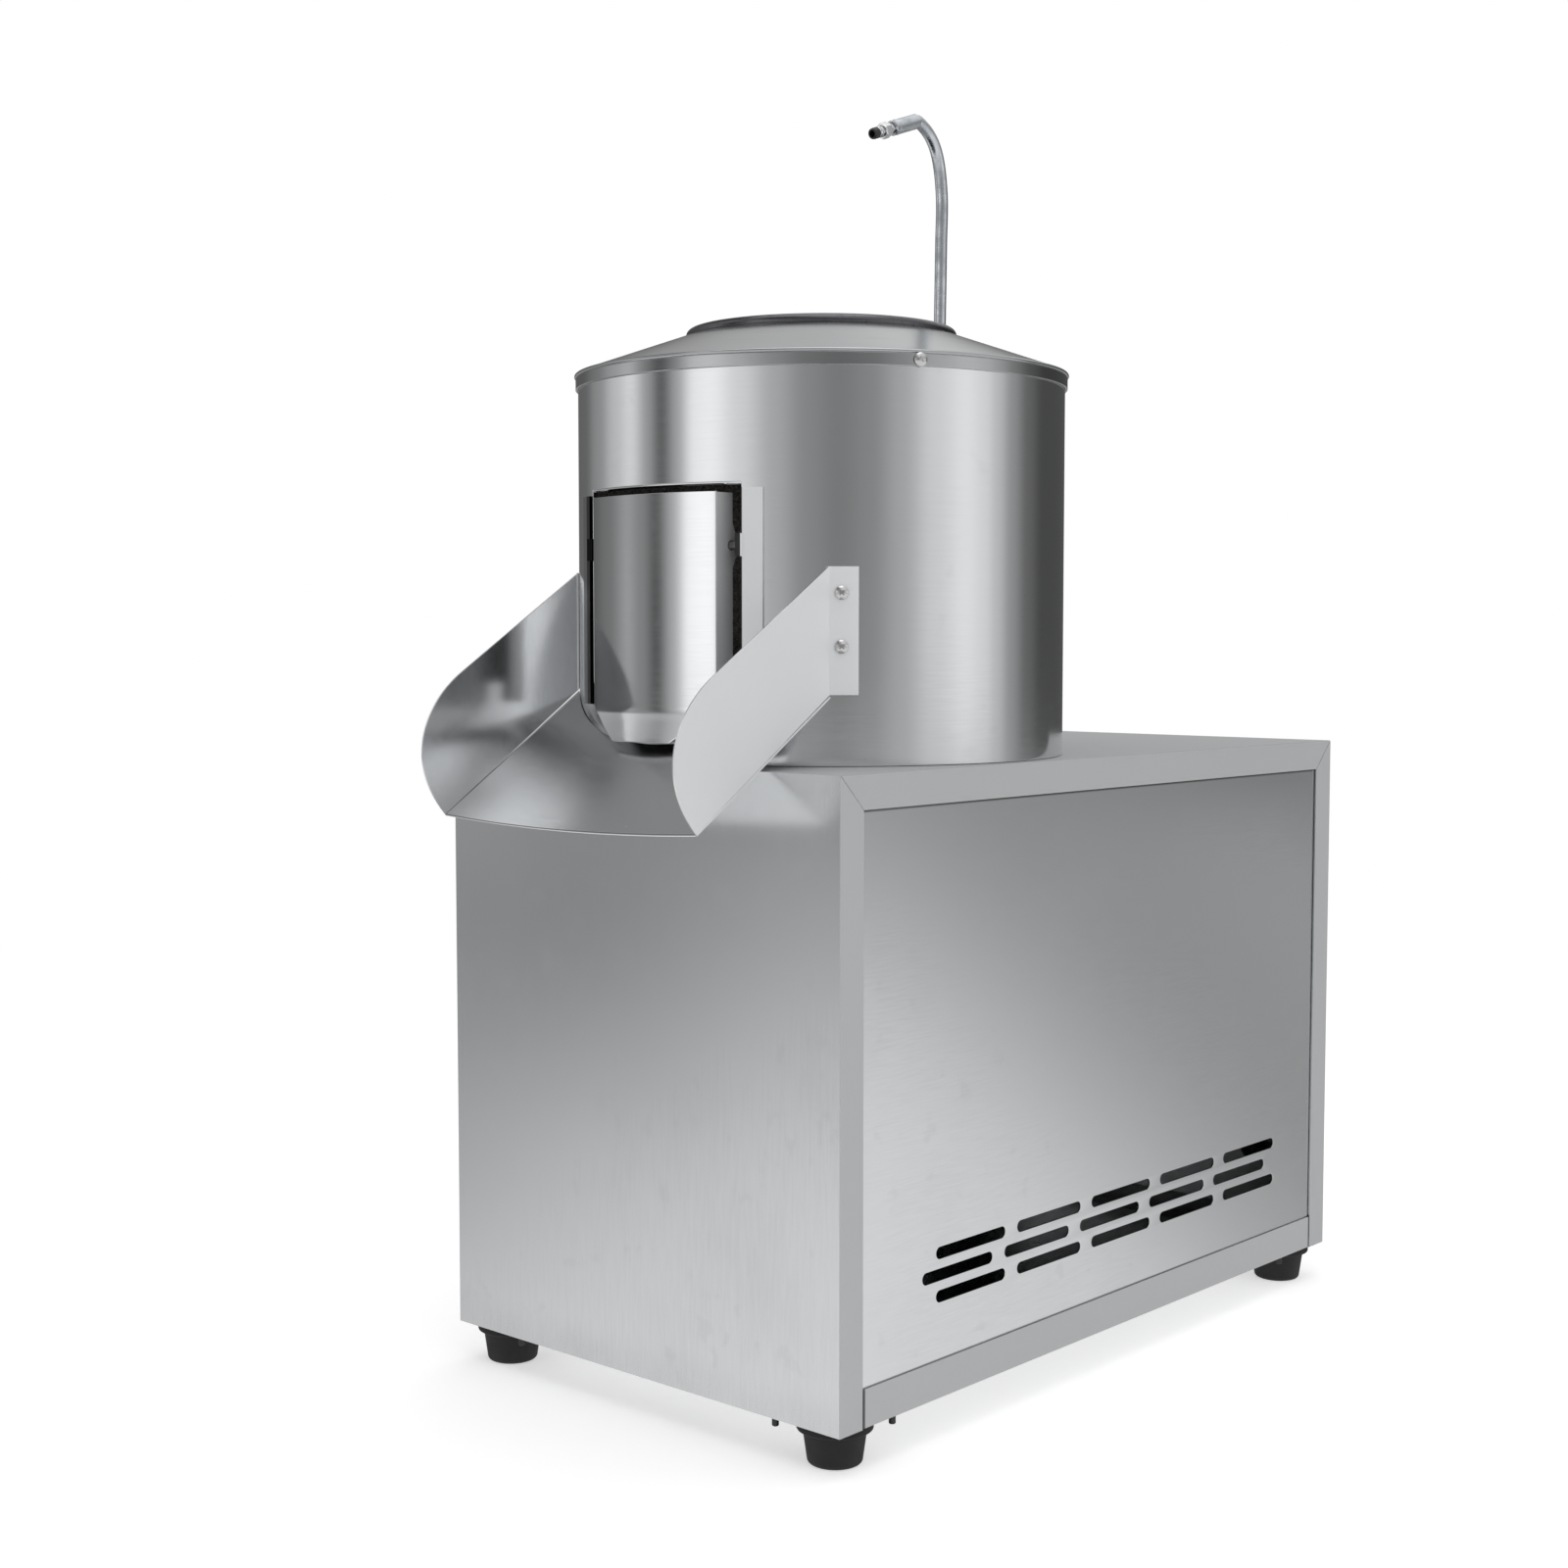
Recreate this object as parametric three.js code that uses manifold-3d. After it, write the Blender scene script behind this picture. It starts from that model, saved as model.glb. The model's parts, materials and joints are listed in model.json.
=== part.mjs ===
// Commercial potato peeler: a drum with an abrasive liner and a turning abrasive disc, on a
// sheet-steel cabinet that holds the motor and the belt drive.
// Millimetres, +Z up. The discharge chute faces -Y. The origin is on the floor, under the
// middle of the whole machine.

import * as THREE from 'three';
import { mergeVertices } from 'three/addons/utils/BufferGeometryUtils.js';
import Module from 'manifold-3d';

const wasm = await Module();
wasm.setup();

// Clearances shared by all pieces
const seatGap = 0.3; // between pieces that touch
const runGap = 0.4; // round a shaft or a pin that turns
const overrun = 5; // how far a cutting body runs past what it cuts

// Cabinet
const cabinetWidth = 366;
const cabinetLength = 616;
const cabinetHeight = 416;
const cabinetSheet = 1.5;
const flangeWidth = 22.5;
const mitreWidth = 0.8;
const mitreDepth = 0.6;
const skirtHeight = 25;
const skirtSeam = 1.2;
const trayRaise = 0.6;
const trayLipHeight = 18;

// Vents in the side panels
const ventWidth = 8;
const ventBridge = 22; // between the round ends of neighbours, from centre to centre
const ventStagger = 14.5;
const ventRowPitch = 14.5;
const ventLowestZ = 68; // above the cabinet's bottom edge
const ventFrontMargin = 103.5; // from the cabinet's front to the first round end
const ventRearMargin = 84.5; // from the last round end to the cabinet's back
const ventRows = 3;
const ventsInRow = 5;

// Feet
const footHeight = 28;
const footInset = 27;
const footTopRadius = 19;
const footBottomRadius = 16.5;
const footBrimRadius = 23;
const footBrimHeight = 3;
const footChamfer = 1.5;
const footWebHeight = 8;
const footRecessRadius = 9;
const footBoltRadius = 4;
const footBoltHeadRadius = 7.5;
const footBoltHeadHeight = 5;
const footNutHeight = 6.5;
const footBoltTail = 4;

// Drum
const drumMargin = 8; // from the drum to the cabinet's sides
const drumSheet = 1.5;
const drumFrontMargin = 17; // from the drum to the cabinet's front
const drumHeight = 268;
const drumSegments = 48;
const linerThickness = 4;
const linerTopDrop = 12;
const linerRelief = 4; // how much larger the liner's window is than the drum's

// Pan under the disc
const panSheet = 2;
const panRimHeight = 14;

// Discharge window, heights above the cabinet's top
const windowBottom = 52.6;
const windowTop = 186;
const windowHalfAngle = 23.685;

// Discharge door, a curved flap hung on a rod
const doorStandOff = 6; // from the drum to the door's outside
const doorSheet = 1.5;
const doorHalfAngle = 18.8;
const doorBottom = 34.5; // above the cabinet's top
const doorTop = 179.8;
const doorReturnDepth = 15;
const doorReturnLift = 4; // from the window's lower edge to the side returns
const doorReturnTopDrop = 6;
const lipDrop = 20;
const lipFlare = 12;
const lipTopHalfAngle = 17.4;
const lipBottomHalfAngle = 8.4;
const hingeDrop = 35; // from the door's top edge to the rod
const hingeInset = 18; // from the drum's outside to the rod
const rodRadius = 3;
const earRadius = 7.5;

// Guide strips beside the window
const stripThickness = 2;
const stripStartAngle = 23.9;
const stripEndAngle = 28.6;
const stripTop = 182;
const stripBottom = 38;
const earThickness = 2.2;

// Chute
const chuteHalfAngle = 43.29; // round the drum, to a wing's outside
const chuteSheet = 1.5;
const chuteTabBottom = 47; // above the cabinet's top
const chuteTabTop = 130.5;
const chuteTabEndAngle = 49;
const chuteTipOut = 79; // from the drum to the wings' lower tips
const chuteTipZ = -36; // above the cabinet's top
const chuteShoulderOut = 63;
const chuteShoulderZ = 61;
const chuteNoseOut = 117;
const chuteNoseStartShare = 0.57;
const chuteNoseEndShare = 0.41;
const chuteFloorBow = 4;
const chuteFrontBow = 5;
const chuteFloorSteps = 14;
const chuteNoseSteps = 9;

// Screws with round heads
const screwHeadRadius = 4.6;
const screwHeadHeight = 2.4;
const screwDomeShare = 0.6;
const screwShankRadius = 2;
const screwHoleRadius = 2.4;
const chuteScrewAngle = 45.3;
const chuteScrewTopDrop = 17;
const chuteScrewPitch = 35;
const coverScrewAngle = 62.5;
const coverScrewCount = 3;

// Cover with its rolled feed mouth
const coverSheet = 1.5;
const coverSkirtHeight = 8;
const coverBeadStand = 0.9;
const coverBeadHeight = 2.6;
const coverRise = 28; // from the bead to the mouth
const mouthMargin = 82; // from the drum's outside to the middle of the roll
const mouthRollRadius = 4.5;
const mouthRollSteps = 4;
const mouthRollStart = -20; // degrees round the roll, from where the cone meets it
const mouthRollEnd = 300;

// Water pipe on the cover
const pipeRadius = 4.6;
const pipeBoreRadius = 3.2;
const pipeMargin = 37; // from the drum's outside, at the back
const pipeTailDrop = 22;
const sleeveRadius = 5.6;
const sleeveLength = 30;
const sleeveSocket = 5;
const hoseNutRadius = 6.2;
const hoseNutLength = 7;
const hoseNutGap = 5.5; // from the sleeve to the nut
const nozzleRadius = 3.7;
const nozzleStandOut = 11.5; // beyond the nut
const nozzleBarb = 0.5;
const nozzleBoreRadius = 2.6;
const pipeCollarRadius = 9;
const pipeCollarHeight = 7;
const nutSides = 6;
const pipeRise = 186.5; // from the cover to the top of the bend
const pipeReach = 84.6; // from the pipe's foot to the nozzle's tip
const pipeDroop = 18.9; // degrees that the spout points down
const pipeSteps = 22;
const pipeSides = 8;
// Forward and upward places along the pipe, as shares of its reach and rise
const pipeRouteShares = [
  [0, 0], [-0.021, 0.53], [-0.028, 0.724], [0.025, 0.864], [0.096, 0.928], [0.19, 0.966],
];
const spoutStartShare = 0.355;

// Abrasive disc
const discClearance = 5.2; // from the disc to the liner
const discTopZ = 44; // above the cabinet's top
const discThickness = 8;
const discBoreRadius = 10;
const discHubRadius = 37;
const discHubDepth = 22;
const discSkirtRadius = 33.5; // inside of the hub's skirt
const discHubFloor = 9;
const discWaves = 3;
const discWaveHeight = 13;
const discSegments = 30;
// Radii of the disc's rings and how much of the wave each one carries
const discRingShares = [[0.3, 0], [0.42, 0.35], [0.56, 0.85], [0.7, 1], [0.84, 0.75], [0.95, 0.15], [1, 0]];
const vaneHeight = 28;
const vaneThickness = 4;
const vaneInnerRadius = 60;
const vaneMargin = 14; // from the disc's edge
const vaneCount = 2;

// Main shaft and its bearings, heights under the cabinet's top
const shaftRadius = 15;
const shaftShoulderRadius = 18;
const shaftHubRadius = 9.6;
const shaftPulleyRadius = 12;
const shaftThreadRadius = 7;
const shaftThreadLength = 14;
const shaftTail = 6; // below the pulley's hub
const shaftStep = 1; // from the disc's top down to the thread
const capNutRadius = 16;
const capNutFlange = 21;
const capNutFlangeHeight = 4;
const capNutHeight = 20;
const capNutTopShare = 0.8;
const machinePlateThickness = 4;
const machinePlateEdge = 20;
const machinePlateMargin = 6; // from the side panels
const machinePlateEndMargin = 18;
const housingFlangeRadius = 62;
const housingFlangeThickness = 8;
const housingBodyRadius = 42;
const housingBodyLength = 64;
const housingNeckRadius = 30;
const housingNeckHeight = 26; // above the cabinet's top
const bearingRadius = 31;
const bearingWidth = 16;
const bearingGrooveDepth = 1.5;
const bearingInnerRing = 5;
const bearingOuterRing = 5;
const sealRadius = 24;
const sealHeight = 8;
const housingRibs = 4;
const housingRibThickness = 6;

// Belt drive
const drivenPulleyRadius = 125;
const motorPulleyRadius = 32;
const pulleyWidth = 22;
const pulleyRimDepth = 20;
const pulleyWebThickness = 8;
const pulleyHubLength = 30;
const pulleyHubWall = 14;
const pulleyWindowCount = 5;
const pulleyWindowRadius = 24;
const beltTopWidth = 13;
const beltBottomWidth = 8;
const beltDepth = 8;
const beltProud = 1;
const beltDrivenSteps = 28;
const beltMotorSteps = 10;
const grooveFloor = 3; // from the belt to the bottom of the groove
const motorMargin = 158; // from the motor's shaft to the cabinet's back
const pulleyDrop = 96; // from the cabinet's top to the belt's middle

// Motor, shaft upwards
const motorRadius = 62;
const motorFinHeight = 8;
const motorFins = 18;
const motorFinShare = 0.45;
const motorLength = 150;
const motorFlangeRadius = 80;
const motorFlangeThickness = 12;
const motorSpigotRadius = 40;
const motorSpigotHeight = 3;
const statorBoreRadius = 38;
const rotorRadius = 37;
const rotorEndMargin = 12;
const motorShaftRadius = 9.5;
const fanCoverLength = 42;
const fanCoverSheet = 1.5;
const fanCoverSlots = 6;
const fanCoverSlotWidth = 5;
const fanCoverSlotInner = 18;
const fanCoverSlotOuter = 52;
const fanRadius = 50;
const fanHubRadius = 15;
const fanBladeHeight = 18;
const fanBladeThickness = 3;
const fanDiscThickness = 3;
const fanBlades = 6;
const fanDrop = 8;
const bracketClearance = 4; // from the bracket to the drain pipe
const bracketLength = 190;
const bracketSheet = 4;
const bracketFlange = 24;
const bracketDrop = 122; // from the cabinet's top to the bracket's web
const terminalWidth = 70;
const terminalHeight = 60;
const terminalDepth = 34;
const terminalLid = 8.5;
const capacitorRadius = 21;
const capacitorLength = 92;
const strapWidth = 14;
const strapThickness = 2;

// Drain
const drainRadius = 19;
const drainBoreRadius = 16.5;
const drainMargin = 30; // from the drum's outside to the drain's middle
const drainFall = 20; // over the run to the back
const drainDrop = 52; // from the cabinet's top to the pipe's elbow
const drainElbow = 30;
const drainBendShare = 0.3;
const drainStandOut = 26;
const drainSteps = 8;
const drainSides = 5;
const drainPipeStart = 20; // from the elbow's bend to the straight pipe
const drainFlangeRadius = 25;
const drainFlangeThickness = 1.6;

// Switch on the back panel
const switchWidth = 66;
const switchHeight = 104;
const switchDepth = 22;
const switchCorner = 6;
const switchInset = 123; // from the cabinet's right side
const switchDrop = 98; // from the cabinet's top
const buttonPitch = 44;
const buttonRadius = 14;
const buttonStandOut = 6;
const buttonCollarRadius = 18.5;
const buttonCollarDepth = 2.5;
const buttonDepth = 6; // inside its bore
const buttonTravel = 4;
const buttonDome = 1.5;
const switchWireRadius = 8;

// Cable gland on the back panel
const glandRadius = 11;
const glandLength = 24;
const glandBoreRadius = 4.5;
const glandInset = 63; // from the cabinet's right side
const glandZ = 70; // above the cabinet's bottom edge
const glandFlangeRadius = 14;
const glandFlangeDepth = 5;
const glandThreadRadius = 8;
const glandThreadLength = 12;

// Smoothness of the round pieces
const fineSegments = 32;
const roundSegments = 16;
const smallSegments = 10;
const screwSegments = 6;
const cornerSteps = 2;
const mergeStep = 1e-4;

// Places and sizes worked out from the ones above
const radians = THREE.MathUtils.degToRad;
const baseZ = footHeight;
const topZ = baseZ + cabinetHeight;
const frontY = -cabinetLength / 2;
const rearY = cabinetLength / 2;
const sideX = cabinetWidth / 2;
const panelOuterX = sideX - cabinetSheet - seatGap;
const panelInnerX = panelOuterX - cabinetSheet;
const ventLine = cabinetLength - ventFrontMargin - ventRearMargin;
const ventPitch = (ventLine + ventBridge) / ventsInRow;
const ventSpan = ventPitch - ventBridge;
const trayTopZ = baseZ + trayRaise + cabinetSheet;

const drumRadius = sideX - drumMargin;
const drumY = frontY + drumFrontMargin + drumRadius;
const drumInner = drumRadius - drumSheet;
const drumBottomZ = topZ + seatGap;
const drumTopZ = drumBottomZ + drumHeight;
const linerOuter = drumInner - seatGap;
const linerInner = linerOuter - linerThickness;
const windowHalfWidth = drumRadius * Math.sin(radians(windowHalfAngle));
const doorRadius = drumRadius + doorStandOff;
const chuteHalfWidth = drumRadius * Math.sin(radians(chuteHalfAngle));
const chuteTipReach = drumRadius + chuteTipOut;
const chuteShoulderReach = drumRadius + chuteShoulderOut;
const chuteNoseReach = drumRadius + chuteNoseOut;
const mouthRadius = drumRadius - mouthMargin;
const pipeSetback = drumRadius - pipeMargin;
const discRadius = linerInner - discClearance;
const discZ = topZ + discTopZ;
const vaneOuterRadius = discRadius - vaneMargin;
const drainX = drainMargin - drumRadius;

const plateTopZ = topZ - cabinetSheet - seatGap;
const plateBottomZ = plateTopZ - machinePlateThickness;
const flangeBottomZ = plateBottomZ - seatGap - housingFlangeThickness;
const housingBottomZ = flangeBottomZ - housingBodyLength;
const pulleyZ = topZ - pulleyDrop;
const motorY = rearY - motorMargin;
const shaftDistance = motorY - drumY;
const bracketTopZ = plateBottomZ - seatGap;
const bracketWebZ = topZ - bracketDrop;
const bracketHalfWidth = -drainX - drainRadius - bracketClearance - bracketSheet;
const switchX = sideX - switchInset;
const switchZ = topZ - switchDrop;
const glandX = sideX - glandInset;

// Solids and shapes

// Turns a closed geometry into a solid whose faces point outwards, ready to be joined or cut.
function solid(geometry) {
  const bare = geometry.clone();
  bare.deleteAttribute('normal');
  bare.deleteAttribute('uv');
  const merged = mergeVertices(bare, mergeStep);
  const points = merged.attributes.position;
  const corner = [new THREE.Vector3(), new THREE.Vector3(), new THREE.Vector3()];
  const triangles = [];
  let volume = 0;
  for (let i = 0; i < merged.index.count; i += 3) {
    const ids = [0, 1, 2].map((k) => merged.index.getX(i + k));
    if (new Set(ids).size < ids.length) continue;
    ids.forEach((id, k) => corner[k].fromBufferAttribute(points, id));
    volume += corner[0].dot(corner[1].clone().cross(corner[2]));
    triangles.push(ids);
  }
  if (volume < 0) triangles.forEach((ids) => ids.reverse());
  const mesh = new wasm.Mesh({
    numProp: 3,
    vertProperties: Float32Array.from(points.array),
    triVerts: Uint32Array.from(triangles.flat()),
  });
  return new wasm.Manifold(mesh);
}

// The geometry of a joined or cut solid.
function toGeometry(body) {
  const mesh = body.getMesh();
  const geometry = new THREE.BufferGeometry();
  geometry.setAttribute('position', new THREE.BufferAttribute(mesh.vertProperties, 3));
  geometry.setIndex(new THREE.BufferAttribute(mesh.triVerts, 1));
  geometry.computeVertexNormals();
  return geometry;
}

function join(parts) {
  return toGeometry(parts.map(solid).reduce((whole, part) => whole.add(part)));
}

function cut(part, cutters) {
  return toGeometry(cutters.reduce((rest, cutter) => rest.subtract(solid(cutter)), solid(part)));
}

function block(x0, x1, y0, y1, z0, z1) {
  const box = new THREE.BoxGeometry(x1 - x0, y1 - y0, z1 - z0);
  return box.translate((x0 + x1) / 2, (y0 + y1) / 2, (z0 + z1) / 2);
}

// Radius and height pairs turned about the Z axis.
function revolve(profile, segments) {
  const points = profile.map(([r, z]) => new THREE.Vector2(r, z));
  if (profile[0][0] > 0) points.push(points[0].clone());
  return new THREE.LatheGeometry(points, segments).rotateX(Math.PI / 2);
}

function rod(radius, z0, z1, segments) {
  return revolve([[0, z0], [radius, z0], [radius, z1], [0, z1]], segments);
}

// An outline in the YZ plane pushed along X.
function prismX(shape, x0, x1, steps = cornerSteps) {
  const body = new THREE.ExtrudeGeometry(shape, {
    depth: x1 - x0,
    bevelEnabled: false,
    curveSegments: steps,
  });
  const turn = new THREE.Matrix4().makeBasis(
    new THREE.Vector3(0, 1, 0), new THREE.Vector3(0, 0, 1), new THREE.Vector3(1, 0, 0));
  return body.applyMatrix4(turn).translate(x0, 0, 0);
}

// An outline in the XZ plane pushed along Y.
function prismY(shape, y0, y1) {
  const body = new THREE.ExtrudeGeometry(shape, {
    depth: y1 - y0,
    bevelEnabled: false,
    curveSegments: cornerSteps,
  });
  return body.rotateX(Math.PI / 2).translate(0, y1, 0);
}

// A flat outline pushed along Z.
function prismZ(shape, z0, z1) {
  const body = new THREE.ExtrudeGeometry(shape, {
    depth: z1 - z0,
    bevelEnabled: false,
    curveSegments: cornerSteps,
  });
  return body.translate(0, 0, z0);
}

function outline(points) {
  return new THREE.Shape(points.map(([u, v]) => new THREE.Vector2(u, v)));
}

// A closed plate between an outer and an inner face; each face is a function of two indices.
function plate(outer, inner, across, along) {
  const points = [];
  const faces = [];
  const columns = across + 1;
  const rows = along + 1;
  for (const face of [outer, inner]) {
    for (let j = 0; j < rows; j += 1) {
      for (let i = 0; i < columns; i += 1) points.push(...face(i, j));
    }
  }
  const at = (side, i, j) => side * columns * rows + j * columns + i;
  const quad = (a, b, c, d) => faces.push(a, b, c, a, c, d);
  for (let j = 0; j < along; j += 1) {
    for (let i = 0; i < across; i += 1) {
      quad(at(0, i, j), at(0, i + 1, j), at(0, i + 1, j + 1), at(0, i, j + 1));
      quad(at(1, i, j), at(1, i, j + 1), at(1, i + 1, j + 1), at(1, i + 1, j));
    }
  }
  for (let i = 0; i < across; i += 1) {
    quad(at(0, i + 1, 0), at(0, i, 0), at(1, i, 0), at(1, i + 1, 0));
    quad(at(0, i, along), at(0, i + 1, along), at(1, i + 1, along), at(1, i, along));
  }
  for (let j = 0; j < along; j += 1) {
    quad(at(0, 0, j), at(0, 0, j + 1), at(1, 0, j + 1), at(1, 0, j));
    quad(at(0, across, j + 1), at(0, across, j), at(1, across, j), at(1, across, j + 1));
  }
  return gridGeometry(points, faces);
}

// Sections of equally many points, joined one to the next and the last to the first.
function closedSweep(sections) {
  const points = [];
  const faces = [];
  const count = sections[0].length;
  sections.forEach((section, i) => {
    const next = (i + 1) % sections.length;
    section.forEach((point, j) => {
      const k = (j + 1) % count;
      points.push(...point);
      faces.push(i * count + j, next * count + j, next * count + k);
      faces.push(i * count + j, next * count + k, i * count + k);
    });
  });
  return gridGeometry(points, faces);
}

function gridGeometry(points, faces) {
  const geometry = new THREE.BufferGeometry();
  geometry.setAttribute('position', new THREE.Float32BufferAttribute(points, 3));
  geometry.setIndex(faces);
  return geometry;
}

// A point on a circle round the drum's axis; angle 0 is the front, and grows towards +X.
function round(radius, angle, z) {
  return [radius * Math.sin(radians(angle)), drumY - radius * Math.cos(radians(angle)), z];
}

// A bent plate round the drum's axis, through rows of height, outer radius and two angles.
function bentPlate(rows, thickness, across) {
  const angle = (i, j) => THREE.MathUtils.lerp(rows[j].from, rows[j].to, i / across);
  const outer = (i, j) => round(rows[j].r, angle(i, j), rows[j].z);
  const inner = (i, j) => round(rows[j].r - thickness, angle(i, j), rows[j].z);
  return plate(outer, inner, across, rows.length - 1);
}

// Turns a piece that was made along Z so that it points outwards from the drum.
function pointOut(part, radius, angle, z) {
  return part.rotateX(Math.PI / 2).rotateZ(radians(angle)).translate(...round(radius, angle, z));
}

// Cabinet

// Front, top and back in one folded sheet, with side flanges that meet at mitred corners.
function cabinetWrap() {
  const inner = sideX - cabinetSheet;
  const walls = [
    block(-sideX, sideX, frontY, frontY + cabinetSheet, baseZ, topZ),
    block(-sideX, sideX, rearY - cabinetSheet, rearY, baseZ, topZ),
    block(-sideX, sideX, frontY, rearY, topZ - cabinetSheet, topZ),
  ];
  const border = outline([[frontY, baseZ], [rearY, baseZ], [rearY, topZ], [frontY, topZ]]);
  const field = [
    [frontY + flangeWidth, baseZ - overrun], [frontY + flangeWidth, topZ - flangeWidth],
    [rearY - flangeWidth, topZ - flangeWidth], [rearY - flangeWidth, baseZ - overrun],
  ];
  const cutters = [];
  for (const [x0, x1] of [[-sideX, -inner], [inner, sideX]]) {
    const opening = prismX(outline(field), x0 - overrun, x1 + overrun);
    walls.push(cut(prismX(border, x0, x1), [opening]));
  }
  const mitreLength = Math.SQRT2 * flangeWidth;
  for (const side of [-1, 1]) {
    for (const [y, tilt] of [[frontY, -1], [rearY, 1]]) {
      const groove = new THREE.BoxGeometry(2 * mitreDepth, mitreWidth, mitreLength + 2 * mitreWidth);
      groove.rotateX(-tilt * Math.PI / 4);
      groove.translate(side * sideX, y - tilt * flangeWidth / 2, topZ - flangeWidth / 2);
      cutters.push(groove);
    }
  }
  const below = topZ - cabinetSheet - overrun;
  const neckHole = rod(housingNeckRadius + seatGap, below, topZ + overrun, fineSegments);
  cutters.push(neckHole.translate(0, drumY, 0));
  const drainHole = rod(drainRadius + seatGap, below, topZ + overrun, fineSegments);
  cutters.push(drainHole.translate(drainX, drumY, 0));
  cutters.push(drainSpoutHole());
  cutters.push(...switchHoles());
  cutters.push(glandHole());
  return cut(join(walls), cutters);
}

// One vent, with its straight part level, in the YZ plane.
function ventPath(y, z) {
  const path = new THREE.Path();
  path.absarc(y + ventSpan, z, ventWidth / 2, -Math.PI / 2, Math.PI / 2);
  path.absarc(y, z, ventWidth / 2, Math.PI / 2, 3 * Math.PI / 2);
  return path;
}

function sidePanel(side) {
  const y = rearY - cabinetSheet - seatGap;
  const low = trayTopZ + seatGap;
  const high = topZ - cabinetSheet - seatGap;
  const panel = outline([[-y, low], [y, low], [y, high], [-y, high]]);
  for (let row = 0; row < ventRows; row += 1) {
    const start = frontY + ventFrontMargin - (row % 2) * ventStagger;
    for (let i = 0; i < ventsInRow; i += 1) {
      panel.holes.push(ventPath(start + i * ventPitch, baseZ + ventLowestZ + row * ventRowPitch));
    }
  }
  const x = side * (panelInnerX + panelOuterX) / 2;
  return prismX(panel, x - cabinetSheet / 2, x + cabinetSheet / 2);
}

// The floor of the cabinet: a tray whose turned-up sides close the cabinet under the panels.
function baseTray() {
  const inner = panelInnerX - seatGap;
  const narrow = sideX - cabinetSheet - seatGap;
  const endY = rearY - cabinetSheet - seatGap;
  const skirtY = rearY - flangeWidth - skirtSeam;
  const z0 = baseZ + trayRaise;
  const skirtZ = z0 + skirtHeight;
  const parts = [
    block(-narrow, narrow, -endY, endY, z0, trayTopZ),
    block(-sideX, sideX, -skirtY, skirtY, z0, trayTopZ),
  ];
  for (const side of [-1, 1]) {
    const x = side * (sideX - cabinetSheet / 2);
    parts.push(block(x - cabinetSheet / 2, x + cabinetSheet / 2, -skirtY, skirtY, z0, skirtZ));
    const y = side * (endY - cabinetSheet / 2);
    const lipZ = z0 + trayLipHeight;
    parts.push(block(-inner, inner, y - cabinetSheet / 2, y + cabinetSheet / 2, z0, lipZ));
  }
  const holes = footPlaces().map(({ x, y }) =>
    rod(footBoltRadius + runGap, z0 - overrun, trayTopZ + overrun, smallSegments).translate(x, y, 0));
  return cut(join(parts), holes);
}

function footPlaces() {
  const x = sideX - footInset;
  const y = rearY - footInset;
  return [
    { name: 'front_right', x, y: -y }, { name: 'front_left', x: -x, y: -y },
    { name: 'rear_right', x, y }, { name: 'rear_left', x: -x, y },
  ];
}

// A tapered rubber foot with a brim, hollow from below for its bolt.
function foot() {
  const top = baseZ + trayRaise - seatGap;
  return revolve([
    [footRecessRadius, 0], [footBottomRadius - footChamfer, 0], [footBottomRadius, footChamfer],
    [footTopRadius, top - footBrimHeight], [footBrimRadius, top - footBrimHeight], [footBrimRadius, top],
    [footBoltRadius + runGap, top], [footBoltRadius + runGap, top - footWebHeight],
    [footRecessRadius, top - footWebHeight],
  ], roundSegments);
}

// The bolt that holds a foot, with its head in the foot and its nut on the tray.
function footBolt() {
  const headTop = baseZ + trayRaise - seatGap - footWebHeight - seatGap;
  const nutBottom = trayTopZ + seatGap;
  const nutTop = nutBottom + footNutHeight;
  return revolve([
    [0, headTop - footBoltHeadHeight], [footBoltHeadRadius, headTop - footBoltHeadHeight],
    [footBoltHeadRadius, headTop], [footBoltRadius, headTop], [footBoltRadius, nutBottom],
    [footBoltHeadRadius, nutBottom], [footBoltHeadRadius, nutTop], [footBoltRadius, nutTop],
    [footBoltRadius, nutTop + footBoltTail], [0, nutTop + footBoltTail],
  ], nutSides);
}

// Drum

function drumWindow(extra) {
  const half = windowHalfWidth + extra;
  const front = drumY - drumRadius - overrun;
  const z0 = topZ + windowBottom - extra;
  const z1 = topZ + windowTop + extra;
  return block(-half, half, front, drumY - drumRadius / 2, z0, z1);
}

function drumShell() {
  const shell = revolve([
    [drumInner, drumBottomZ], [drumRadius, drumBottomZ], [drumRadius, drumTopZ], [drumInner, drumTopZ],
  ], drumSegments);
  const holes = [...chuteScrewPlaces(), ...coverScrewPlaces()].map(({ angle, z }) => {
    const hole = rod(screwHoleRadius, -overrun, overrun, screwSegments);
    return pointOut(hole, drumRadius, angle, z);
  });
  return cut(shell.translate(0, drumY, 0), [drumWindow(0), ...holes]);
}

// The abrasive sleeve that lines the drum above the pan.
function drumLiner() {
  const z0 = drumBottomZ + panRimHeight + seatGap;
  const z1 = drumTopZ - linerTopDrop;
  const sleeve = revolve([[linerInner, z0], [linerOuter, z0], [linerOuter, z1], [linerInner, z1]],
    drumSegments);
  return cut(sleeve.translate(0, drumY, 0), [drumWindow(linerRelief)]);
}

// The wet floor of the drum, with an upturned rim, a hole for the shaft's neck and the drain.
function drumPan() {
  const z = drumBottomZ;
  const inner = housingNeckRadius + seatGap;
  const pan = revolve([
    [inner, z], [linerOuter, z], [linerOuter, z + panRimHeight], [linerOuter - panSheet, z + panRimHeight],
    [linerOuter - panSheet, z + panSheet], [inner, z + panSheet],
  ], drumSegments);
  const hole = rod(drainRadius + seatGap, z - overrun, z + panSheet + overrun, fineSegments);
  return cut(pan.translate(0, drumY, 0), [hole.translate(drainX, drumY, 0)]);
}

// Discharge door

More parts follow.
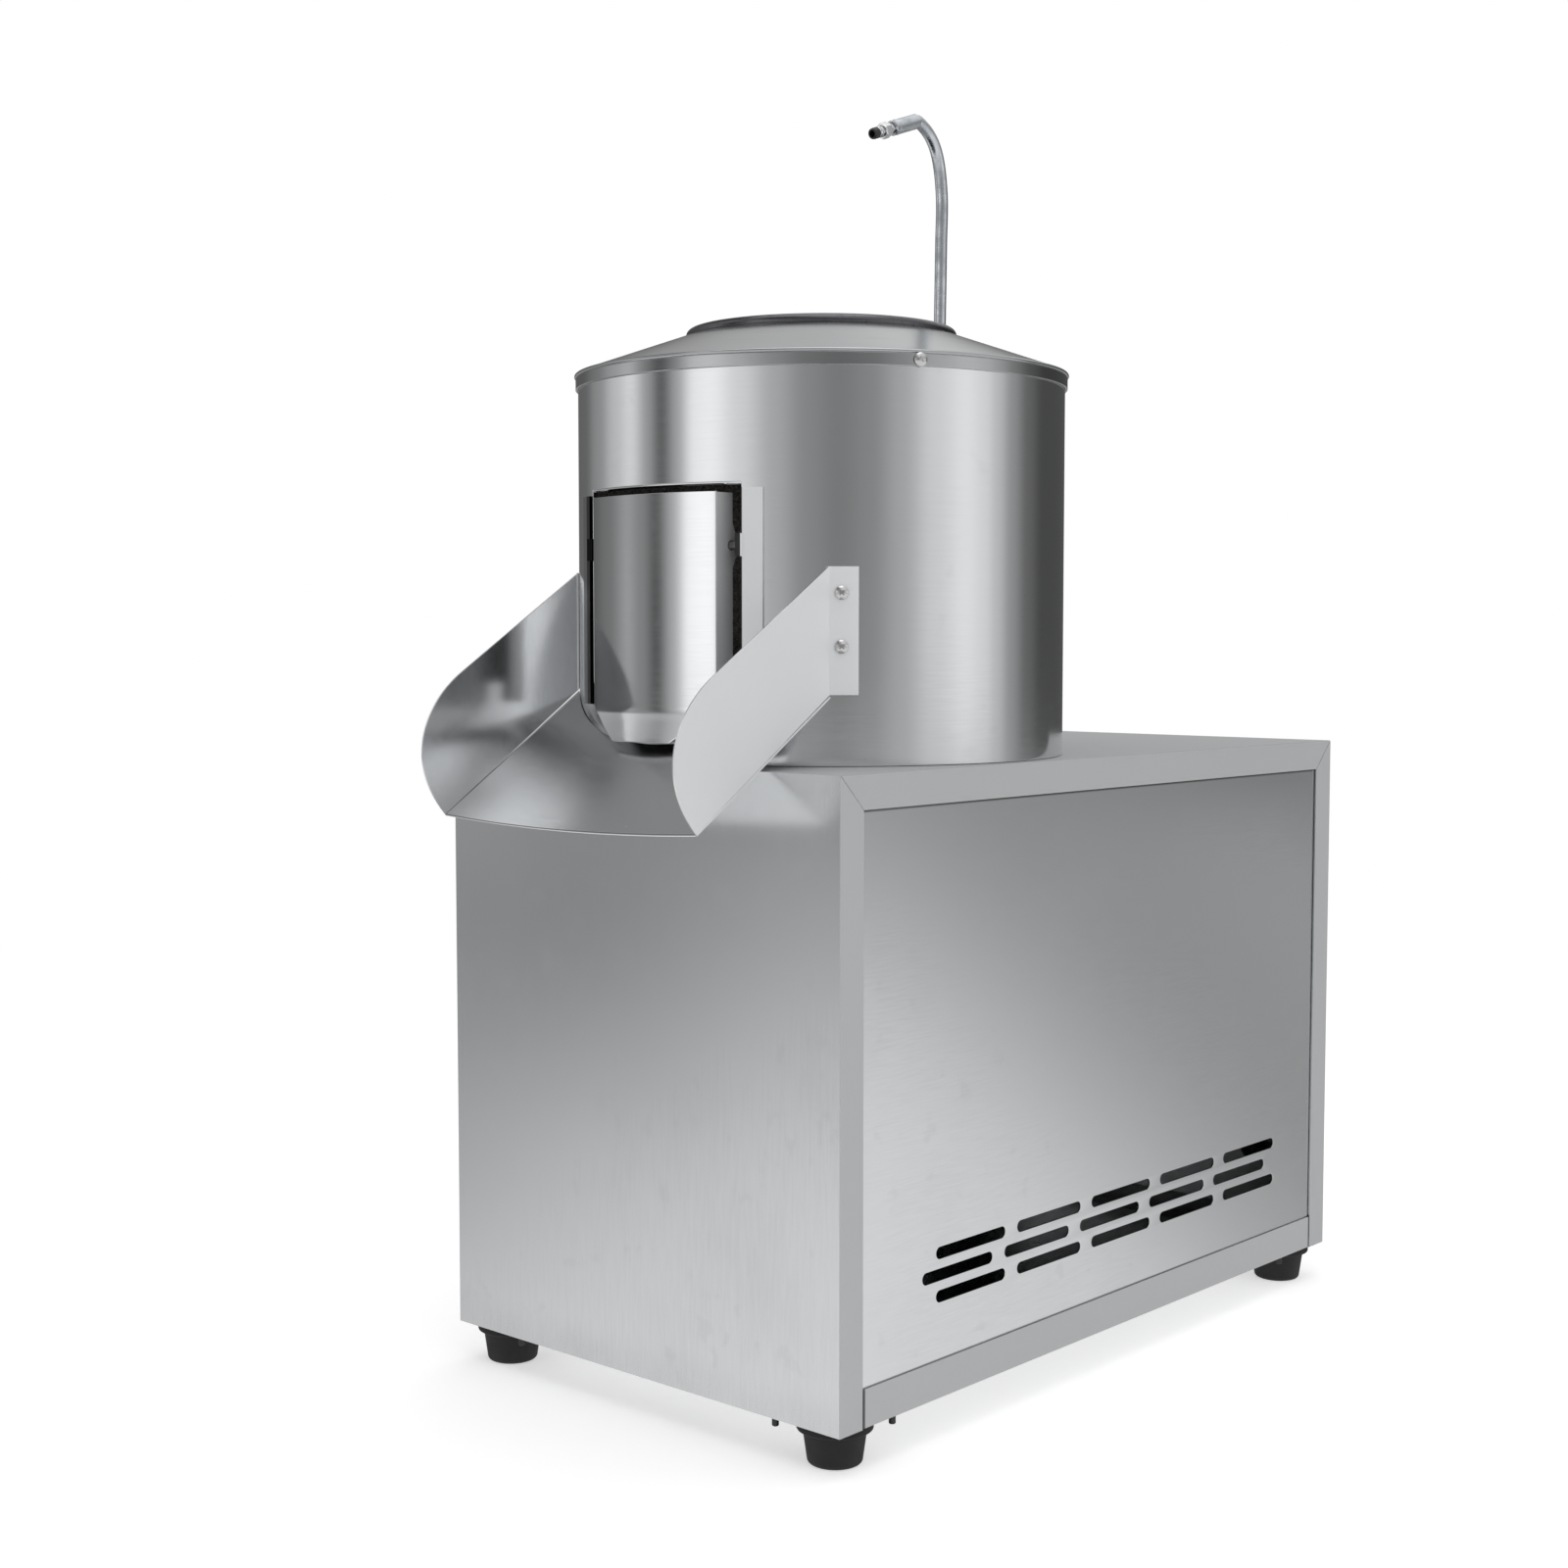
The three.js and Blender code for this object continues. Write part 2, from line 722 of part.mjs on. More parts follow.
function hingePlace() {
  return { y: drumY - drumRadius + hingeInset, z: topZ + doorTop - hingeDrop };
}

// The curved face with its flared pull lip, and two side returns that carry the rod.
function dischargeDoor() {
  const z0 = topZ + doorBottom;
  const z1 = topZ + doorTop;
  const face = bentPlate([
    { z: z1, r: doorRadius, from: -doorHalfAngle, to: doorHalfAngle },
    { z: z0 + doorSheet, r: doorRadius, from: -doorHalfAngle, to: doorHalfAngle },
    { z: z0, r: doorRadius, from: -lipTopHalfAngle, to: lipTopHalfAngle },
    { z: z0 - lipDrop, r: doorRadius + lipFlare, from: -lipBottomHalfAngle, to: lipBottomHalfAngle },
  ], doorSheet, roundSegments / 2);
  const sideReach = doorRadius * Math.sin(radians(doorHalfAngle));
  const faceY = drumY - (doorRadius - doorSheet / 2) * Math.cos(radians(doorHalfAngle));
  const low = topZ + windowBottom + doorReturnLift;
  const high = z1 - doorReturnTopDrop;
  const hinge = hingePlace();
  const inner = faceY + doorReturnDepth;
  const ear = new THREE.Shape();
  ear.moveTo(faceY, low);
  ear.lineTo(inner, low);
  ear.lineTo(inner, hinge.z - 2 * earRadius);
  ear.absarc(hinge.y, hinge.z, earRadius, -Math.PI / 4, Math.PI / 4);
  ear.lineTo(inner, hinge.z + 2 * earRadius);
  ear.lineTo(inner, high);
  ear.lineTo(faceY, high);
  const bore = rod(rodRadius + seatGap, -sideReach, sideReach, smallSegments);
  bore.rotateY(Math.PI / 2).translate(0, hinge.y, hinge.z);
  const returns = [-1, 1].map((side) => {
    const x = side * (sideReach - doorSheet / 2);
    return prismX(ear, x - doorSheet / 2, x + doorSheet / 2);
  });
  return join([face, ...returns.map((part) => cut(part, [bore]))]);
}

function hingeRod() {
  const hinge = hingePlace();
  const half = windowHalfWidth - seatGap;
  const bar = rod(rodRadius, -half, half, smallSegments);
  return bar.rotateY(Math.PI / 2).translate(0, hinge.y, hinge.z);
}

// A strip beside the window, with an ear that reaches into the drum for the rod's end.
function guideStrip(side) {
  const outer = drumRadius + seatGap + stripThickness;
  const ends = [side * stripStartAngle, side * stripEndAngle];
  const row = (height) => ({
    z: topZ + height, r: outer, from: Math.min(...ends), to: Math.max(...ends),
  });
  const strip = bentPlate([row(stripTop), row(stripBottom)], stripThickness, 2);
  const hinge = hingePlace();
  const edge = windowHalfWidth - seatGap;
  const xs = [side * (edge - earThickness), side * edge];
  const [x0, x1] = [Math.min(...xs), Math.max(...xs)];
  const wallX = drumRadius * Math.sin(radians(stripStartAngle));
  const bridgeX = [x0, x1, side * (wallX + stripThickness)];
  const backY = drumY - Math.sqrt((drumRadius + seatGap) ** 2 - (edge - earThickness) ** 2);
  const frontEdge = backY - stripThickness;
  const z0 = hinge.z - earRadius;
  const z1 = hinge.z + earRadius;
  const ear = block(x0, x1, frontEdge, hinge.y + earRadius, z0, z1);
  const bridge = block(Math.min(...bridgeX), Math.max(...bridgeX), frontEdge, backY, z0, z1);
  const bore = rod(rodRadius + seatGap, -overrun, overrun, smallSegments);
  bore.rotateY(Math.PI / 2).translate((x0 + x1) / 2, hinge.y, hinge.z);
  const shell = rod(drumRadius + seatGap / 2, drumBottomZ, drumTopZ, drumSegments);
  shell.translate(0, drumY, 0);
  const seat = cut(shell, [drumWindow(-seatGap)]);
  return cut(join([strip, ear, bridge]), [bore, seat]);
}

// Chute

function chuteLine(y) {
  const foldY = drumY - Math.sqrt(drumRadius ** 2 - chuteHalfWidth ** 2);
  const tipY = drumY - chuteTipReach;
  const share = (foldY - y) / (foldY - tipY);
  return topZ + THREE.MathUtils.lerp(chuteTabBottom, chuteTipZ, share);
}

// A side wing: straight along the top, then rounded down to its pointed lower tip.
function chuteWing(side) {
  const inner = chuteHalfWidth - chuteSheet;
  const backY = drumY - Math.sqrt((drumRadius + seatGap) ** 2 - inner ** 2);
  const tipY = drumY - chuteTipReach;
  const shoulder = [drumY - chuteShoulderReach, topZ + chuteShoulderZ];
  const nose = drumY - chuteNoseReach;
  const slope = (topZ + chuteTabTop - shoulder[1]) / (backY - shoulder[0]);
  const middle = THREE.MathUtils.lerp(shoulder[0], nose, chuteNoseStartShare);
  const noseZ = THREE.MathUtils.lerp(topZ + chuteTipZ, shoulder[1], chuteNoseEndShare);
  const wing = new THREE.Shape();
  wing.moveTo(backY, topZ + chuteTabBottom);
  wing.lineTo(backY, topZ + chuteTabTop);
  wing.lineTo(...shoulder);
  wing.bezierCurveTo(middle, shoulder[1] + slope * (middle - shoulder[0]), nose, noseZ,
    tipY, topZ + chuteTipZ);
  const x = side * (chuteHalfWidth - chuteSheet / 2);
  return prismX(wing, x - chuteSheet / 2, x + chuteSheet / 2, chuteNoseSteps);
}

// A tab bent round the drum at the back of a wing.
function chuteTab(side) {
  const outer = drumRadius + seatGap + chuteSheet;
  const start = THREE.MathUtils.radToDeg(Math.asin((chuteHalfWidth - chuteSheet) / outer));
  const ends = [side * start, side * chuteTabEndAngle];
  const row = (height) => ({
    z: topZ + height, r: outer, from: Math.min(...ends), to: Math.max(...ends),
  });
  return bentPlate([row(chuteTabTop), row(chuteTabBottom)], chuteSheet, 3);
}

// The bowed floor, cut to the drum behind and bowed forward in front.
function chuteFloor() {
  const stretch = Math.hypot(1, (chuteTabBottom - chuteTipZ) / chuteTipReach);
  const reach = drumRadius + 2 * seatGap;
  const point = (lift) => (i, j) => {
    const share = 2 * i / chuteFloorSteps - 1;
    const x = share * chuteHalfWidth;
    const bow = 1 - share ** 2;
    const backY = drumY - Math.sqrt(reach ** 2 - x ** 2);
    const tipY = drumY - chuteTipReach - chuteFrontBow * bow;
    const y = j ? tipY : backY;
    return [x, y, chuteLine(y) - chuteFloorBow * bow + lift];
  };
  return plate(point(chuteSheet * stretch), point(0), chuteFloorSteps, 1);
}

function chuteScrewPlaces() {
  const top = topZ + chuteTabTop - chuteScrewTopDrop;
  return [
    { name: 'right_upper', angle: chuteScrewAngle, z: top },
    { name: 'right_lower', angle: chuteScrewAngle, z: top - chuteScrewPitch },
    { name: 'left_upper', angle: -chuteScrewAngle, z: top },
    { name: 'left_lower', angle: -chuteScrewAngle, z: top - chuteScrewPitch },
  ];
}

function chute() {
  const holes = chuteScrewPlaces().map(({ angle, z }) =>
    pointOut(rod(screwHoleRadius, -overrun, overrun, screwSegments), drumRadius, angle, z));
  const sides = [-1, 1].flatMap((side) => [chuteWing(side), chuteTab(side)]);
  return cut(join([chuteFloor(), ...sides]), holes);
}

// A round-headed screw along Z: its head stands on a sheet of this thickness over the drum.
function screw(sheet) {
  const seat = seatGap + sheet + seatGap;
  const dome = seat + screwHeadHeight * screwDomeShare;
  return revolve([
    [0, -drumSheet], [screwShankRadius, -drumSheet], [screwShankRadius, seat], [screwHeadRadius, seat],
    [screwHeadRadius, dome], [screwHeadRadius * screwDomeShare, seat + screwHeadHeight],
    [0, seat + screwHeadHeight],
  ], screwSegments);
}

// Cover

function coverScrewPlaces() {
  const z = drumTopZ - coverSkirtHeight / 2 + seatGap;
  return Array.from({ length: coverScrewCount }, (_, i) => ({
    name: `${i + 1}`, angle: coverScrewAngle + i * 360 / coverScrewCount, z,
  }));
}

// A skirt over the drum, a beaded rim and a shallow cone that ends in the rolled feed mouth.
function drumCover() {
  const inner = drumRadius + seatGap;
  const outer = inner + coverSheet;
  const rimZ = drumTopZ + seatGap;
  const skirtZ = drumTopZ - coverSkirtHeight;
  const coneZ = rimZ + coverBeadHeight;
  const rollZ = coneZ + coverRise + coverSheet;
  const profile = [
    [inner, skirtZ], [outer, skirtZ], [outer, rimZ], [outer + coverBeadStand, rimZ + coverBeadStand],
    [outer, coneZ],
  ];
  for (let i = 0; i <= mouthRollSteps; i += 1) {
    const angle = radians(THREE.MathUtils.lerp(mouthRollStart, mouthRollEnd, i / mouthRollSteps));
    profile.push([mouthRadius + mouthRollRadius * Math.cos(angle),
      rollZ + mouthRollRadius * Math.sin(angle)]);
  }
  profile.push([inner - coverSheet, coneZ - coverSheet], [inner - coverSheet, rimZ], [inner, rimZ]);
  const holes = coverScrewPlaces().map(({ angle, z }) =>
    pointOut(rod(screwHoleRadius, -overrun, overrun, screwSegments), drumRadius, angle, z));
  return cut(revolve(profile, drumSegments).translate(0, drumY, 0), [...holes, pipeHole()]);
}

// The height of the cone's outside at a radius, from the beaded rim to the roll.
function coneHeight(radius) {
  const outer = drumRadius + seatGap + coverSheet;
  const rimZ = drumTopZ + seatGap + coverBeadHeight;
  const start = radians(mouthRollStart);
  const rollEdge = mouthRadius + mouthRollRadius * Math.cos(start);
  const rollZ = rimZ + coverRise + coverSheet + mouthRollRadius * Math.sin(start);
  return THREE.MathUtils.mapLinear(radius, outer, rollEdge, rimZ, rollZ);
}

function pipeFoot() {
  return { y: drumY + pipeSetback, z: coneHeight(pipeSetback) };
}

function pipeHole() {
  const { y, z } = pipeFoot();
  return rod(pipeRadius + seatGap, z - coverRise, z + coverRise, smallSegments).translate(0, y, 0);
}

// The way of the water pipe: up from under the cover, then over to the front.
function pipeRoute() {
  const { y, z } = pipeFoot();
  const route = pipeRouteShares.map(([forward, up]) =>
    new THREE.Vector3(0, y - forward * pipeReach, z + up * pipeRise));
  const tail = new THREE.Vector3(0, y, z - pipeTailDrop);
  const approach = spoutPoint(-3 * pipeRadius / 2);
  return new THREE.CatmullRomCurve3([tail, ...route, approach, spoutPoint(-2 * seatGap)]);
}

function spoutStart() {
  const { y, z } = pipeFoot();
  return new THREE.Vector3(0, y - spoutStartShare * pipeReach, z + pipeRise);
}

// A point along the straight spout, at a distance from its start.
function spoutPoint(distance) {
  const droop = radians(pipeDroop);
  const step = new THREE.Vector3(0, -Math.cos(droop), -Math.sin(droop));
  return spoutStart().addScaledVector(step, distance);
}

function waterPipe() {
  const ring = new THREE.Shape();
  ring.absarc(0, 0, pipeRadius, 0, 2 * Math.PI);
  const bore = new THREE.Path();
  bore.absarc(0, 0, pipeBoreRadius, 0, 2 * Math.PI);
  ring.holes.push(bore);
  return new THREE.ExtrudeGeometry(ring, {
    steps: pipeSteps, extrudePath: pipeRoute(), curveSegments: pipeSides / 2,
  });
}

// Lays a piece that was made along Z on the spout, starting at a distance along it.
function alongSpout(part, distance) {
  const turned = part.rotateX(Math.PI / 2 + radians(pipeDroop));
  return turned.translate(...spoutPoint(distance));
}

function pipeSleeve() {
  const socket = nozzleRadius + seatGap;
  const sleeve = revolve([
    [pipeBoreRadius, 0], [sleeveRadius, 0], [sleeveRadius, sleeveLength], [socket, sleeveLength],
    [socket, sleeveLength - sleeveSocket], [pipeBoreRadius, sleeveLength - sleeveSocket],
  ], roundSegments);
  return alongSpout(sleeve, 0);
}

function hoseNut() {
  const start = sleeveLength + hoseNutGap;
  const end = start + hoseNutLength;
  const bore = rod(nozzleRadius + seatGap, start - overrun, end + overrun, smallSegments);
  return alongSpout(cut(rod(hoseNutRadius, start, end, nutSides), [bore]), 0);
}

// The hollow end piece that takes a hose, with a small barb at its tip.
function hoseNozzle() {
  const start = sleeveLength - sleeveSocket + seatGap;
  const end = sleeveLength + hoseNutGap + hoseNutLength + nozzleStandOut;
  const barbStart = end - nozzleStandOut / 2;
  const nozzle = revolve([
    [nozzleBoreRadius, start], [nozzleRadius, start], [nozzleRadius, barbStart],
    [nozzleRadius + nozzleBarb, barbStart], [nozzleRadius, end], [nozzleBoreRadius, end],
  ], smallSegments);
  return alongSpout(nozzle, 0);
}

// A collar round the foot of the pipe, shaped to the cone that it stands on.
function pipeCollar() {
  const { y, z } = pipeFoot();
  const inner = pipeRadius + seatGap;
  const top = z + pipeCollarHeight;
  const low = z - pipeCollarHeight;
  const ring = revolve([[inner, low], [pipeCollarRadius, low], [pipeCollarRadius, top], [inner, top]],
    smallSegments).translate(0, y, 0);
  const outer = drumRadius;
  const cone = revolve([
    [0, low - overrun], [outer, low - overrun], [outer, coneHeight(outer) + seatGap],
    [mouthRadius, coneHeight(mouthRadius) + seatGap], [0, coneHeight(mouthRadius) + seatGap],
  ], drumSegments).translate(0, drumY, 0);
  const lean = rod(pipeRadius + seatGap, low - overrun, top + overrun, smallSegments);
  return cut(ring, [cone, lean.translate(0, y - seatGap, 0)]);
}

// Abrasive disc and main shaft

// The disc: three raised waves on top, a hub with a skirt over the neck, vanes underneath.
function peelingDisc() {
  const hub = discZ - discThickness;
  const floor = discZ - discHubFloor;
  const rim = discRadius;
  const sections = Array.from({ length: discSegments }, (_, i) => {
    const angle = (i / discSegments) * 2 * Math.PI;
    const swell = ((1 + Math.cos(discWaves * angle)) / 2) ** 2;
    const top = discRingShares.map(([r, share]) => [r * rim, discZ + discWaveHeight * share * swell]);
    const loop = [
      [discBoreRadius, discZ], ...top, [rim, hub], [discHubRadius, hub],
      [discHubRadius, discZ - discHubDepth], [discSkirtRadius, discZ - discHubDepth],
      [discSkirtRadius, floor], [discBoreRadius, floor],
    ];
    return loop.map(([r, z]) => [r * Math.sin(angle), drumY - r * Math.cos(angle), z]);
  });
  const vanes = Array.from({ length: vaneCount }, (_, i) => {
    const vane = block(vaneInnerRadius, vaneOuterRadius, -vaneThickness / 2, vaneThickness / 2,
      hub - vaneHeight, hub + discThickness / 2);
    return vane.rotateZ(i * 2 * Math.PI / vaneCount).translate(0, drumY, 0);
  });
  return join([closedSweep(sections), ...vanes]);
}

function discCapNut() {
  const z = discZ + seatGap;
  const inner = shaftThreadRadius + seatGap;
  const hollow = z + shaftThreadLength;
  const nut = revolve([
    [inner, z], [capNutFlange, z], [capNutFlange, z + capNutFlangeHeight],
    [capNutRadius, z + capNutFlangeHeight], [capNutRadius * capNutTopShare, z + capNutHeight],
    [0, z + capNutHeight + capNutFlangeHeight], [0, hollow], [inner, hollow],
  ], nutSides * 2);
  return nut.translate(0, drumY, 0);
}

function bearingPlaces() {
  return {
    upper: flangeBottomZ - seatGap - bearingWidth,
    lower: housingBottomZ + seatGap,
  };
}

// The stepped shaft: pulley seat, bearing seats with a shoulder between them, disc seat, thread.
function mainShaft() {
  const { upper, lower } = bearingPlaces();
  const hubTop = pulleyZ + pulleyHubLength / 2 + seatGap;
  const bottom = pulleyZ - pulleyHubLength / 2 - shaftTail;
  const discSeat = discZ - discHubFloor - seatGap;
  const shoulder = [lower + bearingWidth + seatGap, upper - seatGap];
  return revolve([
    [0, bottom], [shaftPulleyRadius, bottom], [shaftPulleyRadius, hubTop], [shaftRadius, hubTop],
    [shaftRadius, shoulder[0]], [shaftShoulderRadius, shoulder[0]],
    [shaftShoulderRadius, shoulder[1]], [shaftRadius, shoulder[1]],
    [shaftRadius, discSeat], [shaftHubRadius, discSeat], [shaftHubRadius, discZ - shaftStep],
    [shaftThreadRadius, discZ - shaftStep], [shaftThreadRadius, discZ + shaftThreadLength - shaftStep],
    [0, discZ + shaftThreadLength - shaftStep],
  ], roundSegments).translate(0, drumY, 0);
}

// A flanged housing under the machine plate; its neck carries the shaft up through the pan.
function bearingHousing() {
  const bore = bearingRadius + seatGap;
  const throat = shaftRadius + 2 * runGap;
  const flangeTop = flangeBottomZ + housingFlangeThickness;
  const neckTop = topZ + housingNeckHeight;
  const sealSeat = neckTop - sealHeight - seatGap;
  const body = revolve([
    [bore, housingBottomZ], [housingBodyRadius, housingBottomZ], [housingBodyRadius, flangeBottomZ],
    [housingFlangeRadius, flangeBottomZ], [housingFlangeRadius, flangeTop],
    [housingNeckRadius, flangeTop], [housingNeckRadius, neckTop], [sealRadius + seatGap, neckTop],
    [sealRadius + seatGap, sealSeat], [throat, sealSeat], [throat, flangeBottomZ], [bore, flangeBottomZ],
  ], roundSegments);
  const inner = (bearingRadius + housingBodyRadius) / 2;
  const rib = outline([
    [inner, housingBottomZ + overrun], [housingBodyRadius, housingBottomZ + overrun],
    [housingFlangeRadius - overrun, flangeBottomZ], [inner, flangeBottomZ],
  ]);
  const half = housingRibThickness / 2;
  const ribs = Array.from({ length: housingRibs }, (_, i) =>
    prismX(rib, -half, half).rotateZ(Math.PI / 4 + i * 2 * Math.PI / housingRibs));
  return join([body, ...ribs]).translate(0, drumY, 0);
}

// A ball bearing with its rings standing proud of the upper shield.
function bearing(z0) {
  const inner = shaftRadius + runGap;
  const z1 = z0 + bearingWidth;
  const rings = [inner + bearingInnerRing, bearingRadius - bearingOuterRing];
  return revolve([
    [inner, z0], [bearingRadius, z0], [bearingRadius, z1], [rings[1], z1],
    [rings[1], z1 - bearingGrooveDepth], [rings[0], z1 - bearingGrooveDepth], [rings[0], z1], [inner, z1],
  ], roundSegments).translate(0, drumY, 0);
}

function shaftSeal() {
  const z1 = topZ + housingNeckHeight;
  const z0 = z1 - sealHeight;
  const inner = shaftRadius + runGap;
  const middle = (inner + sealRadius) / 2;
  return revolve([
    [inner, z0], [sealRadius, z0], [sealRadius, z1], [middle, z1], [middle, z0 + sealHeight / 2],
    [inner, z0 + sealHeight / 2],
  ], roundSegments).translate(0, drumY, 0);
}

// The stiff plate under the cabinet's top, folded down along both sides.
function machinePlate() {
  const half = panelInnerX - machinePlateMargin;
  const inner = half - machinePlateThickness;
  const end = rearY - machinePlateEndMargin;
  const channel = outline([
    [-half, plateTopZ], [-half, plateBottomZ - machinePlateEdge], [-inner, plateBottomZ - machinePlateEdge],
    [-inner, plateBottomZ], [inner, plateBottomZ], [inner, plateBottomZ - machinePlateEdge],
    [half, plateBottomZ - machinePlateEdge], [half, plateTopZ],
  ]);
  const low = plateBottomZ - overrun;
  const high = plateTopZ + overrun;
  const neck = rod(housingNeckRadius + seatGap, low, high, fineSegments).translate(0, drumY, 0);
  const drain = rod(drainRadius + seatGap, low, high, fineSegments).translate(drainX, drumY, 0);
  return cut(prismY(channel, -end, end), [neck, drain]);
}

// Belt drive

function beltHalfWidth(depth) {
  return THREE.MathUtils.lerp(beltTopWidth, beltBottomWidth, depth / beltDepth) / 2;
}

// A grooved rim on a web with a hub; the groove keeps clear of the belt on both flanks.
function pulley(radius, shaft, web, y) {
  const half = pulleyWidth / 2;
  const hub = shaft + pulleyHubWall;
  const rim = web ? radius - pulleyRimDepth : hub;
  const webHalf = web ? pulleyWebThickness / 2 : half;
  const lip = beltHalfWidth(beltProud) + seatGap;
  const floor = beltHalfWidth(beltDepth + grooveFloor) + seatGap;
  const floorRadius = radius + beltProud - beltDepth - grooveFloor;
  const bore = shaft + seatGap;
  const side = (sign) => {
    const ring = [
      [bore, sign * pulleyHubLength / 2], [hub, sign * pulleyHubLength / 2], [hub, sign * webHalf],
      [rim, sign * webHalf], [rim, sign * half], [radius, sign * half], [radius, sign * lip],
      [floorRadius, sign * floor],
    ];
    return web ? ring : ring.filter((_, i) => i !== 3 && i !== 4);
  };
  const wheel = revolve([...side(-1), ...side(1).reverse()], web ? fineSegments : roundSegments);
  return wheel.translate(0, y, pulleyZ);
}

function drivenPulley() {
  const wheel = pulley(drivenPulleyRadius, shaftPulleyRadius, true, drumY);
  const hub = shaftPulleyRadius + pulleyHubWall;
  const middle = (hub + drivenPulleyRadius - pulleyRimDepth) / 2;
  const windows = Array.from({ length: pulleyWindowCount }, (_, i) => {
    const hole = rod(pulleyWindowRadius, pulleyZ - pulleyWidth, pulleyZ + pulleyWidth, smallSegments);
    return hole.translate(middle, 0, 0).rotateZ(i * 2 * Math.PI / pulleyWindowCount)
      .translate(0, drumY, 0);
  });
  return cut(wheel, windows);
}

// The V-belt: round the driven pulley, along one side, round the motor's and back.
function vBelt() {
  const large = drivenPulleyRadius + beltProud;
  const small = motorPulleyRadius + beltProud;
  const meet = Math.acos((large - small) / shaftDistance);
  const sections = [];
  const wrap = (radius, y, from, to, steps) => {
    for (let i = 0; i <= steps; i += 1) {
      const angle = THREE.MathUtils.lerp(from, to, i / steps);
      const at = (r, z) => [r * Math.sin(angle), y + r * Math.cos(angle), pulleyZ + z];
      const top = beltHalfWidth(0);
      const low = beltHalfWidth(beltDepth);
      sections.push([at(radius, -top), at(radius, top), at(radius - beltDepth, low),
        at(radius - beltDepth, -low)]);
    }
  };
  wrap(large, drumY, meet, 2 * Math.PI - meet, beltDrivenSteps);
  wrap(small, motorY, -meet, meet, beltMotorSteps);
  return closedSweep(sections);
}

// Motor

function motorTopZ() {
  return bracketWebZ - bracketSheet - seatGap;
}

// A hat-shaped bracket under the machine plate; the motor hangs from its web.
function motorBracket() {
  const inner = bracketHalfWidth;
  const outer = inner + bracketSheet;
  const edge = inner + bracketFlange;
  const flangeZ = bracketTopZ - bracketSheet;
  const webZ = bracketWebZ - bracketSheet;
  const hat = outline([
    [-edge, bracketTopZ], [-edge, flangeZ], [-outer, flangeZ], [-outer, webZ], [outer, webZ],
    [outer, flangeZ], [edge, flangeZ], [edge, bracketTopZ], [inner, bracketTopZ], [inner, bracketWebZ],
    [-inner, bracketWebZ], [-inner, bracketTopZ],
  ]);
  const y0 = motorY - bracketLength / 2;
  const hole = rod(motorSpigotRadius + seatGap, webZ - overrun, bracketWebZ + overrun, roundSegments);
  return cut(prismY(hat, y0, y0 + bracketLength), [hole.translate(0, motorY, 0)]);
}

function motorEndBell() {
  const top = motorTopZ();
  const bore = motorShaftRadius + runGap;
  return revolve([
    [bore, top - motorFlangeThickness], [motorFlangeRadius, top - motorFlangeThickness],
    [motorFlangeRadius, top], [motorSpigotRadius, top], [motorSpigotRadius, top + motorSpigotHeight],
    [bore, top + motorSpigotHeight],
  ], roundSegments).translate(0, motorY, 0);
}

// The finned stator housing, closed below by the wall that carries the rotor's lower end.
function motorBody() {
  const top = motorTopZ() - motorFlangeThickness - seatGap;
  const bottom = top - motorLength;
  const points = [];
  for (let i = 0; i < motorFins; i += 1) {
    const pitch = 2 * Math.PI / motorFins;
    const start = i * pitch;
    const end = start + pitch * motorFinShare;
    const outer = motorRadius + motorFinHeight;
    for (const [r, angle] of [[motorRadius, start], [outer, start], [outer, end], [motorRadius, end]]) {
      points.push([r * Math.cos(angle), r * Math.sin(angle)]);
    }
  }
  const cavity = rod(statorBoreRadius, bottom + rotorEndMargin / 2, top + overrun, roundSegments);
  const bore = rod(motorShaftRadius + runGap, bottom - overrun, top, roundSegments);
  return cut(prismZ(outline(points), bottom, top), [cavity, bore]).translate(0, motorY, 0);
}

function fanCover() {
  const top = motorTopZ() - motorFlangeThickness - 2 * seatGap - motorLength;
  const bottom = top - fanCoverLength;
  const outer = motorRadius;
  const inner = outer - fanCoverSheet;
  const cup = revolve([
    [0, bottom], [outer - fanCoverSheet, bottom], [outer, bottom + fanCoverSheet], [outer, top],
    [inner, top], [inner, bottom + fanCoverSheet], [0, bottom + fanCoverSheet],
  ], roundSegments);
  const half = fanCoverSlotWidth / 2;
  const slots = Array.from({ length: fanCoverSlots }, (_, i) =>
    block(fanCoverSlotInner, fanCoverSlotOuter, -half, half, bottom - overrun, bottom + overrun)
      .rotateZ(i * 2 * Math.PI / fanCoverSlots));
  return cut(cup, slots).translate(0, motorY, 0);
}

function fanTopZ() {
  return motorTopZ() - motorFlangeThickness - seatGap - motorLength - fanDrop;
}

function motorFan() {
  const top = fanTopZ();
  const bottom = top - fanDiscThickness - fanBladeHeight;
  const bore = motorShaftRadius + seatGap;
  const wheel = revolve([
    [bore, bottom], [fanHubRadius, bottom], [fanHubRadius, top - fanDiscThickness],
    [fanRadius, top - fanDiscThickness], [fanRadius, top], [bore, top],
  ], roundSegments);
  const half = fanBladeThickness / 2;
  const inner = (bore + fanHubRadius) / 2;
  const blades = Array.from({ length: fanBlades }, (_, i) =>
    block(inner, fanRadius - fanBladeThickness, -half, half, bottom, top - fanDiscThickness / 2)
      .rotateZ(i * 2 * Math.PI / fanBlades));
  return join([wheel, ...blades]).translate(0, motorY, 0);
}

